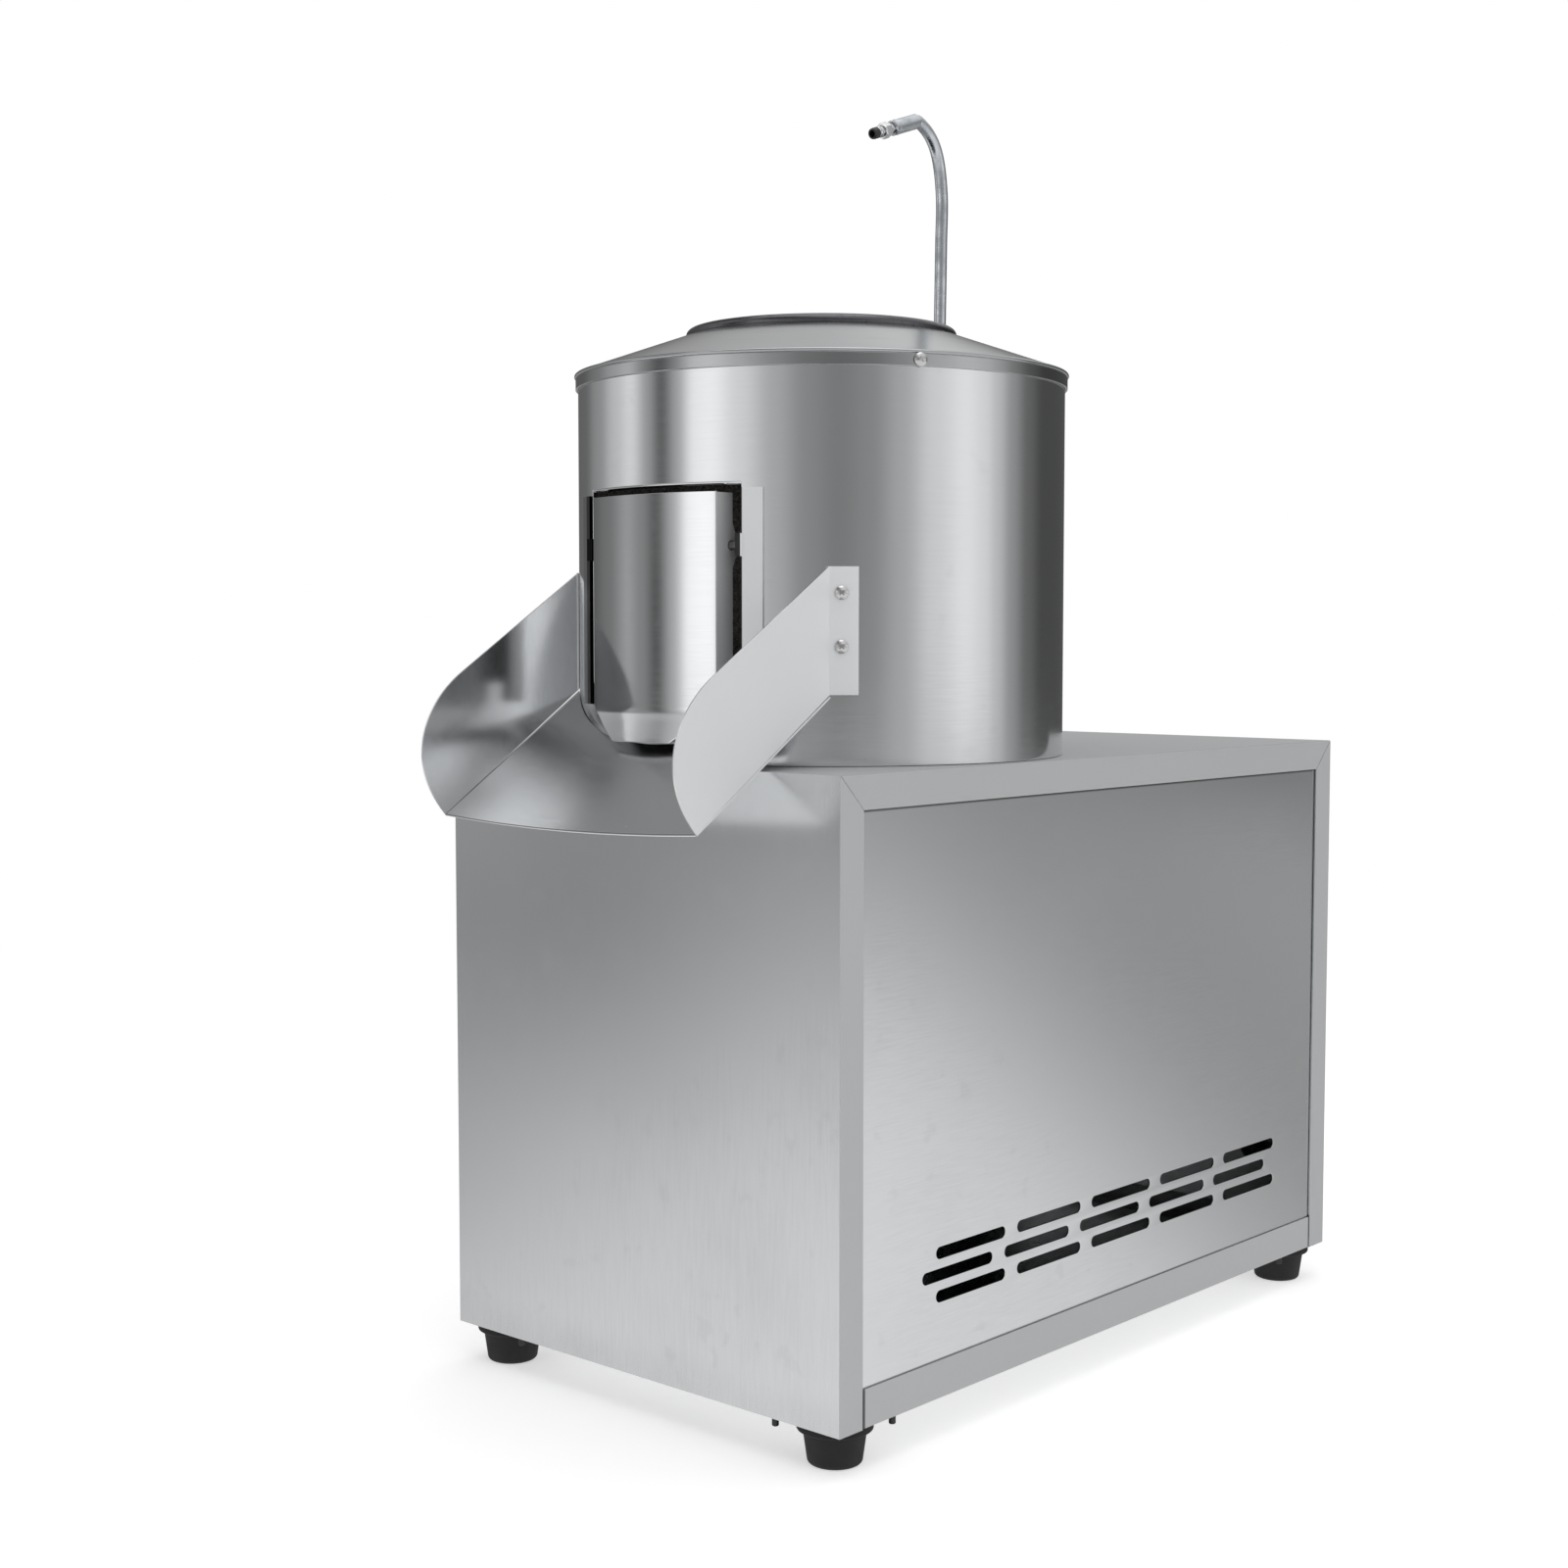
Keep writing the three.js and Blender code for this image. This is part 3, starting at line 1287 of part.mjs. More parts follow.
function motorRotor() {
  const top = motorTopZ() - motorFlangeThickness - seatGap;
  const bottom = top - motorLength;
  const shaftTop = pulleyZ + pulleyHubLength / 2 + seatGap;
  const shaftBottom = fanTopZ() - fanDiscThickness - fanBladeHeight;
  return revolve([
    [0, shaftBottom], [motorShaftRadius, shaftBottom], [motorShaftRadius, bottom + rotorEndMargin],
    [rotorRadius, bottom + rotorEndMargin], [rotorRadius, top - rotorEndMargin],
    [motorShaftRadius, top - rotorEndMargin], [motorShaftRadius, shaftTop], [0, shaftTop],
  ], roundSegments).translate(0, motorY, 0);
}

function terminalBox() {
  const x = motorRadius + motorFinHeight + seatGap;
  const z = motorTopZ() - motorFlangeThickness - motorLength / 2;
  const half = terminalWidth / 2;
  const tall = terminalHeight / 2;
  const base = block(x, x + terminalDepth, motorY - half, motorY + half, z - tall, z + tall);
  const cap = block(x + terminalDepth - terminalLid, x + terminalDepth, motorY - half - cabinetSheet,
    motorY + half + cabinetSheet, z - tall - cabinetSheet, z + tall + cabinetSheet);
  return join([base, cap]);
}

// The start capacitor, held against the motor by a strap.
function motorCapacitor() {
  const x = -(motorRadius + motorFinHeight + seatGap + strapThickness + capacitorRadius);
  const z = motorTopZ() - motorFlangeThickness - motorLength / 2;
  const low = z - capacitorLength / 2;
  const high = z + capacitorLength / 2;
  const strap = capacitorRadius + strapThickness;
  return revolve([
    [0, low], [capacitorRadius, low], [capacitorRadius, z - strapWidth / 2], [strap, z - strapWidth / 2],
    [strap, z + strapWidth / 2], [capacitorRadius, z + strapWidth / 2], [capacitorRadius, high], [0, high],
  ], roundSegments).translate(x, motorY, 0);
}

// Drain

function drainLine() {
  const elbowZ = topZ - drainDrop;
  const start = new THREE.Vector3(drainX, drumY + drainElbow, elbowZ);
  const end = new THREE.Vector3(drainX, rearY + drainStandOut, elbowZ - drainFall);
  return { start, end, slope: Math.atan2(drainFall, end.y - start.y) };
}

// A tube or a cutter laid on the drain's sloping line, between two distances from the bend.
function onDrainLine(part) {
  const { start, slope } = drainLine();
  return part.rotateX(-Math.PI / 2 - slope).translate(...start);
}

function drainSpoutHole() {
  const { start, end } = drainLine();
  const length = start.distanceTo(end);
  const hole = rod(drainRadius + seatGap, length / 2, length + overrun, fineSegments);
  return onDrainLine(hole);
}

function drainPipe() {
  const { start, end } = drainLine();
  const z0 = drainPipeStart + seatGap;
  const z1 = start.distanceTo(end);
  return onDrainLine(revolve([
    [drainBoreRadius, z0], [drainRadius, z0], [drainRadius, z1], [drainBoreRadius, z1],
  ], roundSegments));
}

// The elbow under the pan, with a flange that lies on the pan's floor.
function drainElbowPiece() {
  const { start, end } = drainLine();
  const along = end.clone().sub(start).normalize();
  const top = drumBottomZ + panSheet + seatGap;
  const bend = start.z + drainElbow;
  const path = new THREE.CatmullRomCurve3([
    new THREE.Vector3(drainX, drumY, top + drainFlangeThickness / 2),
    new THREE.Vector3(drainX, drumY, bend + drainElbow / 2),
    new THREE.Vector3(drainX, drumY + drainElbow * drainBendShare, start.z + drainElbow * drainBendShare),
    start,
    start.clone().addScaledVector(along, drainPipeStart),
  ]);
  const ring = new THREE.Shape();
  ring.absarc(0, 0, drainRadius, 0, 2 * Math.PI);
  const bore = new THREE.Path();
  bore.absarc(0, 0, drainBoreRadius, 0, 2 * Math.PI);
  ring.holes.push(bore);
  const tube = new THREE.ExtrudeGeometry(ring, {
    steps: drainSteps, extrudePath: path, curveSegments: drainSides,
  });
  const flange = revolve([
    [drainBoreRadius, top], [drainFlangeRadius, top], [drainFlangeRadius, top + drainFlangeThickness],
    [drainBoreRadius, top + drainFlangeThickness],
  ], roundSegments).translate(drainX, drumY, 0);
  return join([tube, flange]);
}

// Switch and cable gland on the back

function buttonPlaces() {
  return { start: switchZ + buttonPitch / 2, stop: switchZ - buttonPitch / 2 };
}

function roundedBox(width, height, corner) {
  const [x, y] = [width / 2 - corner, height / 2 - corner];
  const shape = new THREE.Shape();
  shape.absarc(x, y, corner, 0, Math.PI / 2);
  shape.absarc(-x, y, corner, Math.PI / 2, Math.PI);
  shape.absarc(-x, -y, corner, Math.PI, 3 * Math.PI / 2);
  shape.absarc(x, -y, corner, 3 * Math.PI / 2, 2 * Math.PI);
  return shape;
}

function switchBox() {
  const y0 = rearY + seatGap;
  const y1 = y0 + switchDepth;
  const shell = prismY(roundedBox(switchWidth, switchHeight, switchCorner), y0, y1)
    .translate(switchX, 0, switchZ);
  const places = Object.values(buttonPlaces());
  const collars = places.map((z) => behind(
    rod(buttonCollarRadius, switchDepth / 2, switchDepth + buttonCollarDepth, roundSegments), z));
  const bores = places.map((z) => behind(
    rod(buttonRadius + runGap, switchDepth + buttonCollarDepth - buttonDepth - buttonTravel - seatGap,
      switchDepth + buttonCollarDepth + overrun, roundSegments), z));
  return cut(join([shell, ...collars]), bores);
}

// Stands a piece that was made along Z on the back panel at the switch, pointing backwards.
function behind(part, z) {
  return part.rotateX(-Math.PI / 2).translate(switchX, rearY + seatGap, z);
}

function switchHoles() {
  const hole = rod(switchWireRadius, -overrun, overrun, smallSegments);
  return [hole.rotateX(-Math.PI / 2).translate(switchX, rearY, switchZ)];
}

function button(z) {
  const face = switchDepth + buttonCollarDepth;
  const top = face + buttonStandOut;
  return behind(revolve([
    [0, face - buttonDepth], [buttonRadius, face - buttonDepth], [buttonRadius, top - buttonDome],
    [buttonRadius - buttonDome, top], [0, top],
  ], roundSegments), z);
}

function glandHole() {
  const hole = rod(glandThreadRadius + seatGap, -overrun, overrun, smallSegments);
  return hole.rotateX(-Math.PI / 2).translate(glandX, rearY, baseZ + glandZ);
}

function cableGland() {
  const flange = glandFlangeDepth + seatGap;
  const body = revolve([
    [glandBoreRadius, -glandThreadLength], [glandThreadRadius, -glandThreadLength],
    [glandThreadRadius, seatGap], [glandFlangeRadius, seatGap], [glandFlangeRadius, flange],
    [glandRadius, flange], [glandRadius, glandLength / 2], [glandThreadRadius, glandLength],
    [glandBoreRadius, glandLength],
  ], smallSegments);
  return body.rotateX(-Math.PI / 2).translate(glandX, rearY, baseZ + glandZ);
}

// Finishes

function finish(color, roughness, metalness) {
  return new THREE.MeshStandardMaterial({ color, roughness, metalness, flatShading: true });
}

const satinSteel = () => finish(0xc9cbcd, 0.3, 1);
const darkSteel = () => finish(0x8d9094, 0.4, 1);
const castAluminium = () => finish(0xb4b7ba, 0.5, 1);
const castIron = () => finish(0x4a4c4f, 0.7, 0.6);
const grit = () => finish(0x5d5a56, 0.95, 0);
const motorPaint = () => finish(0x5f6b76, 0.5, 0.2);
const blackRubber = () => finish(0x1d1d1e, 0.8, 0);
const blackPlastic = () => finish(0x232426, 0.5, 0);
const plasticOf = (color) => finish(color, 0.35, 0);
const chromedTube = () => finish(0xd6d9dc, 0.2, 1);

// Assembly

const machine = new THREE.Group();

function add(name, geometry, material) {
  const mesh = new THREE.Mesh(toGeometry(solid(geometry)), material);
  mesh.name = name;
  machine.add(mesh);
}

add('cabinet_wrap', cabinetWrap(), satinSteel());
add('side_panel_right', sidePanel(1), satinSteel());
add('side_panel_left', sidePanel(-1), satinSteel());
add('base_tray', baseTray(), satinSteel());
for (const { name, x, y } of footPlaces()) {
  add(`foot_${name}`, foot().translate(x, y, 0), blackRubber());
  add(`foot_bolt_${name}`, footBolt().translate(x, y, 0), darkSteel());
}
add('machine_plate', machinePlate(), darkSteel());

add('drum_shell', drumShell(), satinSteel());
add('drum_liner', drumLiner(), grit());
add('drum_pan', drumPan(), satinSteel());
add('discharge_door', dischargeDoor(), satinSteel());
add('hinge_rod', hingeRod(), darkSteel());
add('guide_strip_right', guideStrip(1), satinSteel());
add('guide_strip_left', guideStrip(-1), satinSteel());
add('chute', chute(), satinSteel());
for (const { name, angle, z } of chuteScrewPlaces()) {
  add(`chute_screw_${name}`, pointOut(screw(chuteSheet), drumRadius, angle, z), darkSteel());
}

add('drum_cover', drumCover(), satinSteel());
for (const { name, angle, z } of coverScrewPlaces()) {
  add(`cover_screw_${name}`, pointOut(screw(coverSheet), drumRadius, angle, z), darkSteel());
}
add('water_pipe', waterPipe(), chromedTube());
add('pipe_collar', pipeCollar(), satinSteel());
add('pipe_sleeve', pipeSleeve(), chromedTube());
add('hose_nut', hoseNut(), chromedTube());
add('hose_nozzle', hoseNozzle(), chromedTube());

add('peeling_disc', peelingDisc(), castAluminium());
add('disc_cap_nut', discCapNut(), darkSteel());
add('main_shaft', mainShaft(), darkSteel());
add('bearing_housing', bearingHousing(), castIron());
add('bearing_upper', bearing(bearingPlaces().upper), darkSteel());
add('bearing_lower', bearing(bearingPlaces().lower), darkSteel());
add('shaft_seal', shaftSeal(), blackRubber());
add('driven_pulley', drivenPulley(), castIron());
add('v_belt', vBelt(), blackRubber());

add('motor_bracket', motorBracket(), darkSteel());
add('motor_end_bell', motorEndBell(), motorPaint());
add('motor_body', motorBody(), motorPaint());
add('motor_rotor', motorRotor(), darkSteel());
add('motor_pulley', pulley(motorPulleyRadius, motorShaftRadius, false, motorY), castIron());
add('motor_fan', motorFan(), blackPlastic());
add('motor_fan_cover', fanCover(), motorPaint());
add('terminal_box', terminalBox(), blackPlastic());
add('motor_capacitor', motorCapacitor(), blackPlastic());

add('drain_elbow', drainElbowPiece(), darkSteel());
add('drain_pipe', drainPipe(), satinSteel());
add('switch_box', switchBox(), blackPlastic());
add('start_button', button(buttonPlaces().start), plasticOf(0x1f8a3b));
add('stop_button', button(buttonPlaces().stop), plasticOf(0xb3201c));
add('cable_gland', cableGland(), blackPlastic());

// The origin lies under the middle of the machine's length.
const extent = new THREE.Box3().setFromObject(machine);
machine.position.y = -(extent.min.y + extent.max.y) / 2;

export default machine;
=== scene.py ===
"""Dresses the commercial potato peeler: smooth sheet-metal pieces, finishes and a plain studio."""

import contextlib
import functools
import json
import math

import bmesh
import bpy
from mathutils import Matrix, Vector


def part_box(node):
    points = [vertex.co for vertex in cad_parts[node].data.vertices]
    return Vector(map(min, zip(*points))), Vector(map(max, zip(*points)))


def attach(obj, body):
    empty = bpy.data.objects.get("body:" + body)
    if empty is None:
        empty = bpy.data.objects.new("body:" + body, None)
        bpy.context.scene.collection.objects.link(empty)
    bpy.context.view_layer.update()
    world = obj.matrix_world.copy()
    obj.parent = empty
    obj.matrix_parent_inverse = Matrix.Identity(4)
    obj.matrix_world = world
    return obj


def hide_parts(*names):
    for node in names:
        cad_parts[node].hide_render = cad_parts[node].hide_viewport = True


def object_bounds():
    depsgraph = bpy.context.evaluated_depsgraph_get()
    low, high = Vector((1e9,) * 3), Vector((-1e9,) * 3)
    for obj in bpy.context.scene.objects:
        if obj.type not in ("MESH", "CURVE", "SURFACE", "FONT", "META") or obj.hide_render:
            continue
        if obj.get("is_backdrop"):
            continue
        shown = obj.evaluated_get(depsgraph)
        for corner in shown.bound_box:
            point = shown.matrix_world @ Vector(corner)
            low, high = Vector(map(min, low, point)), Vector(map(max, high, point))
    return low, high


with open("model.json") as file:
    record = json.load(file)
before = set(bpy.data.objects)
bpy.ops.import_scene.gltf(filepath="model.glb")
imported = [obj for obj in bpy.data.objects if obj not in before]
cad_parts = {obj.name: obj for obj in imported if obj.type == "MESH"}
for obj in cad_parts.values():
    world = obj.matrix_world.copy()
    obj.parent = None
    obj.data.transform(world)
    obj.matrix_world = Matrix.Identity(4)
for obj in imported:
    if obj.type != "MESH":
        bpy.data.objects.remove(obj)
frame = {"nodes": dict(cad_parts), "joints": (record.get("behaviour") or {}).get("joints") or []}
CAD_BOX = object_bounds()

bl_info = {
    "name": "Potato Peeler Looks",
    "version": (1, 0, 0),
    "blender": (4, 5, 0),
    "location": "View3D > Sidebar > Peeler",
    "description": "Builds the pieces and finishes of a commercial potato peeler",
    "category": "Add Mesh",
}

PHOTO_SIZE = 1600
UPWARDS = (0, 0, 1)
# Faces that meet at less than FLAT_ANGLE are one, at more than SHARP_ANGLE they show an edge
FLAT_ANGLE = math.radians(0.5)
SHARP_ANGLE = math.radians(32)
BEVEL_ANGLE = math.radians(40)
MERGE_DISTANCE = 1e-6
# Noise scales along X, Y and Z: the sheet's grain is long where the scale is small
DOWN_GRAIN = (40, 40, 900)
ACROSS_GRAIN = (900, 40, 40)
DRUM_GRAIN = (30, 30, 1100)
# How softly the edge of a mask on the sheet ends, and a height that nothing reaches
EDGE_BLUR = 0.0003
NOWHERE = 10.0
# Brightness of the satin flanges against the sheet
SATIN_TINT = 0.88


# Places taken from the solids

def low(node):
    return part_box(node)[0]


def high(node):
    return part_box(node)[1]


def middle(node):
    return (low(node) + high(node)) / 2


DRUM_Y = middle("drum_shell").y
DRUM_RADIUS = (high("drum_shell").x - low("drum_shell").x) / 2
DRUM_TOP = high("drum_shell").z
CABINET_TOP = high("cabinet_wrap").z
FLANGE = 0.0225
HINGE = next(Vector(joint["pos_m"]) for joint in frame["joints"] if joint["name"] == "door_hinge")


# Settings

def length_prop(name, description, default, least, most):
    return bpy.props.FloatProperty(name=name, description=description, default=default,
                                   min=least, max=most, unit="LENGTH")


def angle_prop(name, description, degrees, least=-180, most=180):
    return bpy.props.FloatProperty(
        name=name, description=description, default=math.radians(degrees),
        min=math.radians(least), max=math.radians(most), subtype="ANGLE")


def share_prop(name, description, default, least, most):
    return bpy.props.FloatProperty(
        name=name, description=description, default=default, min=least, max=most)


def count_prop(name, description, default, least, most):
    return bpy.props.IntProperty(
        name=name, description=description, default=default, min=least, max=most)


def colour_prop(name, description, default):
    return bpy.props.FloatVectorProperty(
        name=name, description=description, default=default, min=0, max=1, size=3,
        subtype="COLOR")


class CabinetSettings(bpy.types.PropertyGroup):
    vent_rows: count_prop("Vent rows", "Rows of vents in a side panel", 3, 1, 6)
    vents_in_row: count_prop("Vents in a row", "Vents side by side", 5, 1, 10)
    vent_radius: length_prop("Vent radius", "Half the width of a vent", 0.004, 0.001, 0.01)
    vent_span: length_prop(
        "Vent span", "Distance between the centres of a vent's round ends", 0.068, 0.01, 0.1)
    vent_pitch: length_prop(
        "Vent pitch", "Distance from one vent to the next in a row", 0.09, 0.02, 0.2)
    vent_stagger: length_prop(
        "Vent stagger", "Step from row to row and shift of every second row", 0.0145, 0.005, 0.04)
    vent_setback: length_prop(
        "Vent setback", "From the cabinet's front to the first vent", 0.1035, 0.02, 0.3)
    vent_height: length_prop(
        "Vent height", "Lowest row above the cabinet's bottom edge", 0.068, 0.02, 0.3)


class DrumSettings(bpy.types.PropertyGroup):
    sheet: length_prop("Sheet", "Thickness of the drum and cover sheet", 0.0015, 0.0005, 0.003)
    segments: count_prop("Segments", "Faces round the drum", 192, 48, 384)
    window_half: length_prop(
        "Window half width", "Half the width of the discharge window", 0.0703, 0.03, 0.1)
    window_bottom: length_prop(
        "Window bottom", "Lower edge of the window above the cabinet", 0.0526, 0.02, 0.1)
    window_top: length_prop(
        "Window top", "Upper edge of the window above the cabinet", 0.186, 0.1, 0.25)
    mouth_radius: length_prop(
        "Mouth radius", "Radius of the rolled feed mouth at its middle", 0.093, 0.06, 0.14)
    roll_radius: length_prop(
        "Roll radius", "Radius of the roll round the feed mouth", 0.0045, 0.002, 0.008)
    bead: length_prop("Bead", "Height of the bead round the cover", 0.0026, 0.001, 0.006)


class DoorSettings(bpy.types.PropertyGroup):
    stand_off: length_prop("Stand-off", "From the drum to the door's outside", 0.006, 0.002, 0.02)
    half_angle: angle_prop("Half angle", "Half the angle that the door's face covers", 18.8, 5, 30)
    lip_top_angle: angle_prop("Lip top", "Half angle where the pull lip starts", 17.4, 5, 30)
    lip_bottom_angle: angle_prop("Lip bottom", "Half angle at the lip's free edge", 8.4, 3, 30)
    lip_drop: length_prop("Lip drop", "Height of the pull lip", 0.020, 0.005, 0.04)
    lip_flare: length_prop("Lip flare", "How far the pull lip stands out", 0.0055, 0, 0.03)
    return_depth: length_prop(
        "Return depth", "Depth of the door's side returns", 0.015, 0.005, 0.03)


class ChuteSettings(bpy.types.PropertyGroup):
    sheet: length_prop("Sheet", "Thickness of the chute's sheet", 0.0015, 0.0005, 0.003)
    tab_top: length_prop(
        "Tab top", "Upper edge of the side tabs above the cabinet", 0.1305, 0.08, 0.2)
    tab_bottom: length_prop(
        "Tab bottom", "Lower edge of the side tabs above the cabinet", 0.047, 0.02, 0.1)
    tab_end: angle_prop("Tab end", "Angle round the drum at which a tab ends", 49, 30, 70)
    half_width: length_prop("Half width", "From the middle to a wing's outside", 0.12, 0.06, 0.16)
    tip_reach: length_prop(
        "Tip reach", "From the drum's axis to the wings' lower tips", 0.254, 0.2, 0.3)
    tip_height: length_prop(
        "Tip height", "Height of the tips above the cabinet", -0.036, -0.1, 0.05)
    shoulder_reach: length_prop(
        "Shoulder reach", "From the drum's axis to where a wing's nose begins", 0.238, 0.18, 0.3)
    shoulder_height: length_prop(
        "Shoulder height", "Height of the shoulder above the cabinet", 0.061, 0.02, 0.12)
    nose_reach: length_prop(
        "Nose reach", "How far the nose's curve is pulled from the drum's axis", 0.2917, 0.2, 0.35)
    nose_start: share_prop(
        "Nose start", "Share of the way at which the nose starts to bend", 0.57, 0.1, 1)
    nose_end: share_prop(
        "Nose end", "Share of the height at which the nose stops bending", 0.41, 0.1, 1)
    floor_bow: length_prop("Floor bow", "How much the floor sags in the middle", 0.0025, 0, 0.01)
    front_bow: length_prop("Front bow", "How far the floor's front edge bows out", 0.002, 0, 0.02)


class DiscSettings(bpy.types.PropertyGroup):
    radius: length_prop("Radius", "Radius of the disc", 0.164, 0.1, 0.17)
    top: length_prop("Top", "Height of the disc's top", 0.488, 0.4, 0.6)
    thickness: length_prop("Thickness", "Thickness of the plate", 0.008, 0.003, 0.02)
    bore: length_prop("Bore", "Radius of the hole for the shaft", 0.01, 0.005, 0.02)
    hub_radius: length_prop("Hub radius", "Outside of the hub's skirt", 0.037, 0.02, 0.05)
    hub_depth: length_prop(
        "Hub depth", "Depth of the skirt under the disc's top", 0.022, 0.01, 0.03)
    skirt_radius: length_prop("Skirt radius", "Inside of the hub's skirt", 0.0335, 0.02, 0.05)
    waves: count_prop("Waves", "Raised waves round the disc", 3, 1, 8)
    wave_height: length_prop("Wave height", "Height of the waves", 0.013, 0, 0.02)
    vane_inner: length_prop("Vane start", "Inner end of a vane", 0.06, 0.04, 0.1)
    vane_outer: length_prop("Vane end", "Outer end of a vane", 0.15, 0.1, 0.16)
    vane_depth: length_prop("Vane depth", "Depth of a vane under the plate", 0.028, 0.005, 0.03)


class PipeSettings(bpy.types.PropertyGroup):
    radius: length_prop("Radius", "Outside of the pipe", 0.0046, 0.002, 0.01)
    bore: length_prop("Bore", "Inside of the pipe", 0.0032, 0.001, 0.009)
    setback: length_prop("Setback", "From the drum's axis to the pipe's foot", 0.138, 0.1, 0.17)
    foot_height: length_prop("Foot", "Height of the cover at the pipe's foot", 0.72883, 0.6, 0.8)
    rise: length_prop("Rise", "From the foot to the top of the bend", 0.1865, 0.1, 0.3)
    reach: length_prop("Reach", "From the foot to the nozzle's tip", 0.0846, 0.03, 0.2)
    tail: length_prop("Tail", "Length of pipe under the cover", 0.022, 0.005, 0.05)
    droop: angle_prop("Droop", "Angle that the spout points down", 18.9, 0, 60)
    spout_start: share_prop(
        "Spout start", "Share of the reach at which the spout begins", 0.355, 0.1, 0.9)


class FinishSettings(bpy.types.PropertyGroup):
    steel: colour_prop("Steel", "Colour of the stainless sheet", (0.70, 0.71, 0.72))
    rubber: colour_prop("Rubber", "Colour of the feet and the belt", (0.005, 0.005, 0.0054))
    paint: colour_prop("Motor paint", "Colour of the motor", (0.10, 0.14, 0.18))
    grit: colour_prop("Grit", "Colour of the abrasive", (0.10, 0.095, 0.09))


class StageSettings(bpy.types.PropertyGroup):
    camera_place: bpy.props.FloatVectorProperty(
        name="Camera", description="Place of the camera",
        default=(1.07386, -1.32668, 0.53099), size=3, unit="LENGTH")
    camera_azimuth: angle_prop(
        "Azimuth", "Angle of the view from the front, towards the right", 41.924)
    camera_pitch: angle_prop("Pitch", "Angle that the view points down", 3.836)
    focal_pixels: share_prop(
        "Focal length", "Focal length in pixels of a square frame", 2289.38, 500, 5000)
    floor_size: length_prop("Floor", "Width of the floor", 24, 2, 60)


SETTINGS = {
    "peeler_cabinet": CabinetSettings,
    "peeler_drum": DrumSettings,
    "peeler_door": DoorSettings,
    "peeler_chute": ChuteSettings,
    "peeler_disc": DiscSettings,
    "peeler_pipe": PipeSettings,
    "peeler_finish": FinishSettings,
    "peeler_stage": StageSettings,
}


# Meshes

def new_object(name, data):
    piece = bpy.data.objects.new(name, data)
    bpy.context.scene.collection.objects.link(piece)
    return piece


def smooth(mesh):
    """Shades a mesh smooth, with its sharp edges kept."""
    mesh.shade_smooth()
    mesh.set_sharp_from_angle(angle=SHARP_ANGLE)


@contextlib.contextmanager
def opened(mesh):
    """A mesh in its editable form, written back afterwards."""
    shape = bmesh.new()
    shape.from_mesh(mesh)
    yield shape
    shape.to_mesh(mesh)
    shape.free()


def merge(shape):
    bmesh.ops.remove_doubles(shape, verts=shape.verts, dist=MERGE_DISTANCE)


def turn_outwards(shape):
    bmesh.ops.recalc_face_normals(shape, faces=shape.faces)


def mesh_piece(name, points, faces, outwards=True):
    """A smooth piece from points and faces, without loose points and doubles."""
    mesh = bpy.data.meshes.new(name)
    mesh.from_pydata([tuple(point) for point in points], [], faces)
    with opened(mesh) as shape:
        loose = [vertex for vertex in shape.verts if not vertex.link_faces]
        bmesh.ops.delete(shape, geom=loose, context="VERTS")
        merge(shape)
        if outwards:
            turn_outwards(shape)
    smooth(mesh)
    return new_object(name, mesh)


def block(name, place):
    """A unit cube under a matrix."""
    mesh = bpy.data.meshes.new(name)
    with opened(mesh) as shape:
        bmesh.ops.create_cube(shape, size=1, matrix=place)
    return new_object(name, mesh)


def apply_modifiers(piece):
    """Turns a piece with modifiers into a plain mesh."""
    graph = bpy.context.evaluated_depsgraph_get()
    mesh = bpy.data.meshes.new_from_object(piece.evaluated_get(graph), depsgraph=graph)
    piece.modifiers.clear()
    piece.data = mesh
    mesh.name = piece.name


def bake_modifiers(piece):
    apply_modifiers(piece)
    smooth(piece.data)
    return piece


def add_bevel(piece, width, segments=2):
    bevel = piece.modifiers.new("Edge", "BEVEL")
    bevel.width = width
    bevel.segments = segments
    bevel.limit_method = "ANGLE"
    bevel.angle_limit = BEVEL_ANGLE
    bevel.use_clamp_overlap = True
    return piece


def lathe(name, profile, segments=32, y=0.0):
    """Turns a closed profile of radii and heights about a vertical axis at y."""
    count = len(profile)
    points = []
    for step in range(segments):
        turn = 2 * math.pi * step / segments
        points += [(radius * math.cos(turn), y + radius * math.sin(turn), z)
                   for radius, z in profile]
    closed = profile[0][0] > 0
    faces = []
    for step in range(segments):
        here = step * count
        there = (step + 1) % segments * count
        for row in range(count if closed else count - 1):
            after = (row + 1) % count
            corners = [here + row, there + row, there + after, here + after]
            if profile[row][0] == 0:
                corners.remove(there + row)
            elif profile[after][0] == 0:
                corners.remove(there + after)
            faces.append(corners)
    return mesh_piece(name, points, faces)


def arc(centre_r, centre_z, radius, start, end, steps):
    """Points on an arc in a profile; angles in degrees from outwards, towards up."""
    turns = [math.radians(start + (end - start) * i / steps) for i in range(steps + 1)]
    return [(centre_r + radius * math.cos(t), centre_z + radius * math.sin(t)) for t in turns]


def lay_along(piece, start, direction):
    """Moves a piece that was made along +Z so that it starts at a point and follows a line."""
    turn = Vector(direction).to_track_quat("Z", "X").to_matrix().to_4x4()
    piece.data.transform(Matrix.Translation(start) @ turn)
    return piece


def grid_piece(name, place, across, along, skip=None):
    """A sheet of quads; place gives a point for a column and a row, skip names open cells."""
    points = [place(i, j) for j in range(along + 1) for i in range(across + 1)]
    corners = [(j * (across + 1) + i) for j in range(along) for i in range(across)
               if not (skip and skip(i, j))]
    faces = [(corner, corner + 1, corner + across + 2, corner + across + 1)
             for corner in corners]
    return mesh_piece(name, points, faces, outwards=False)


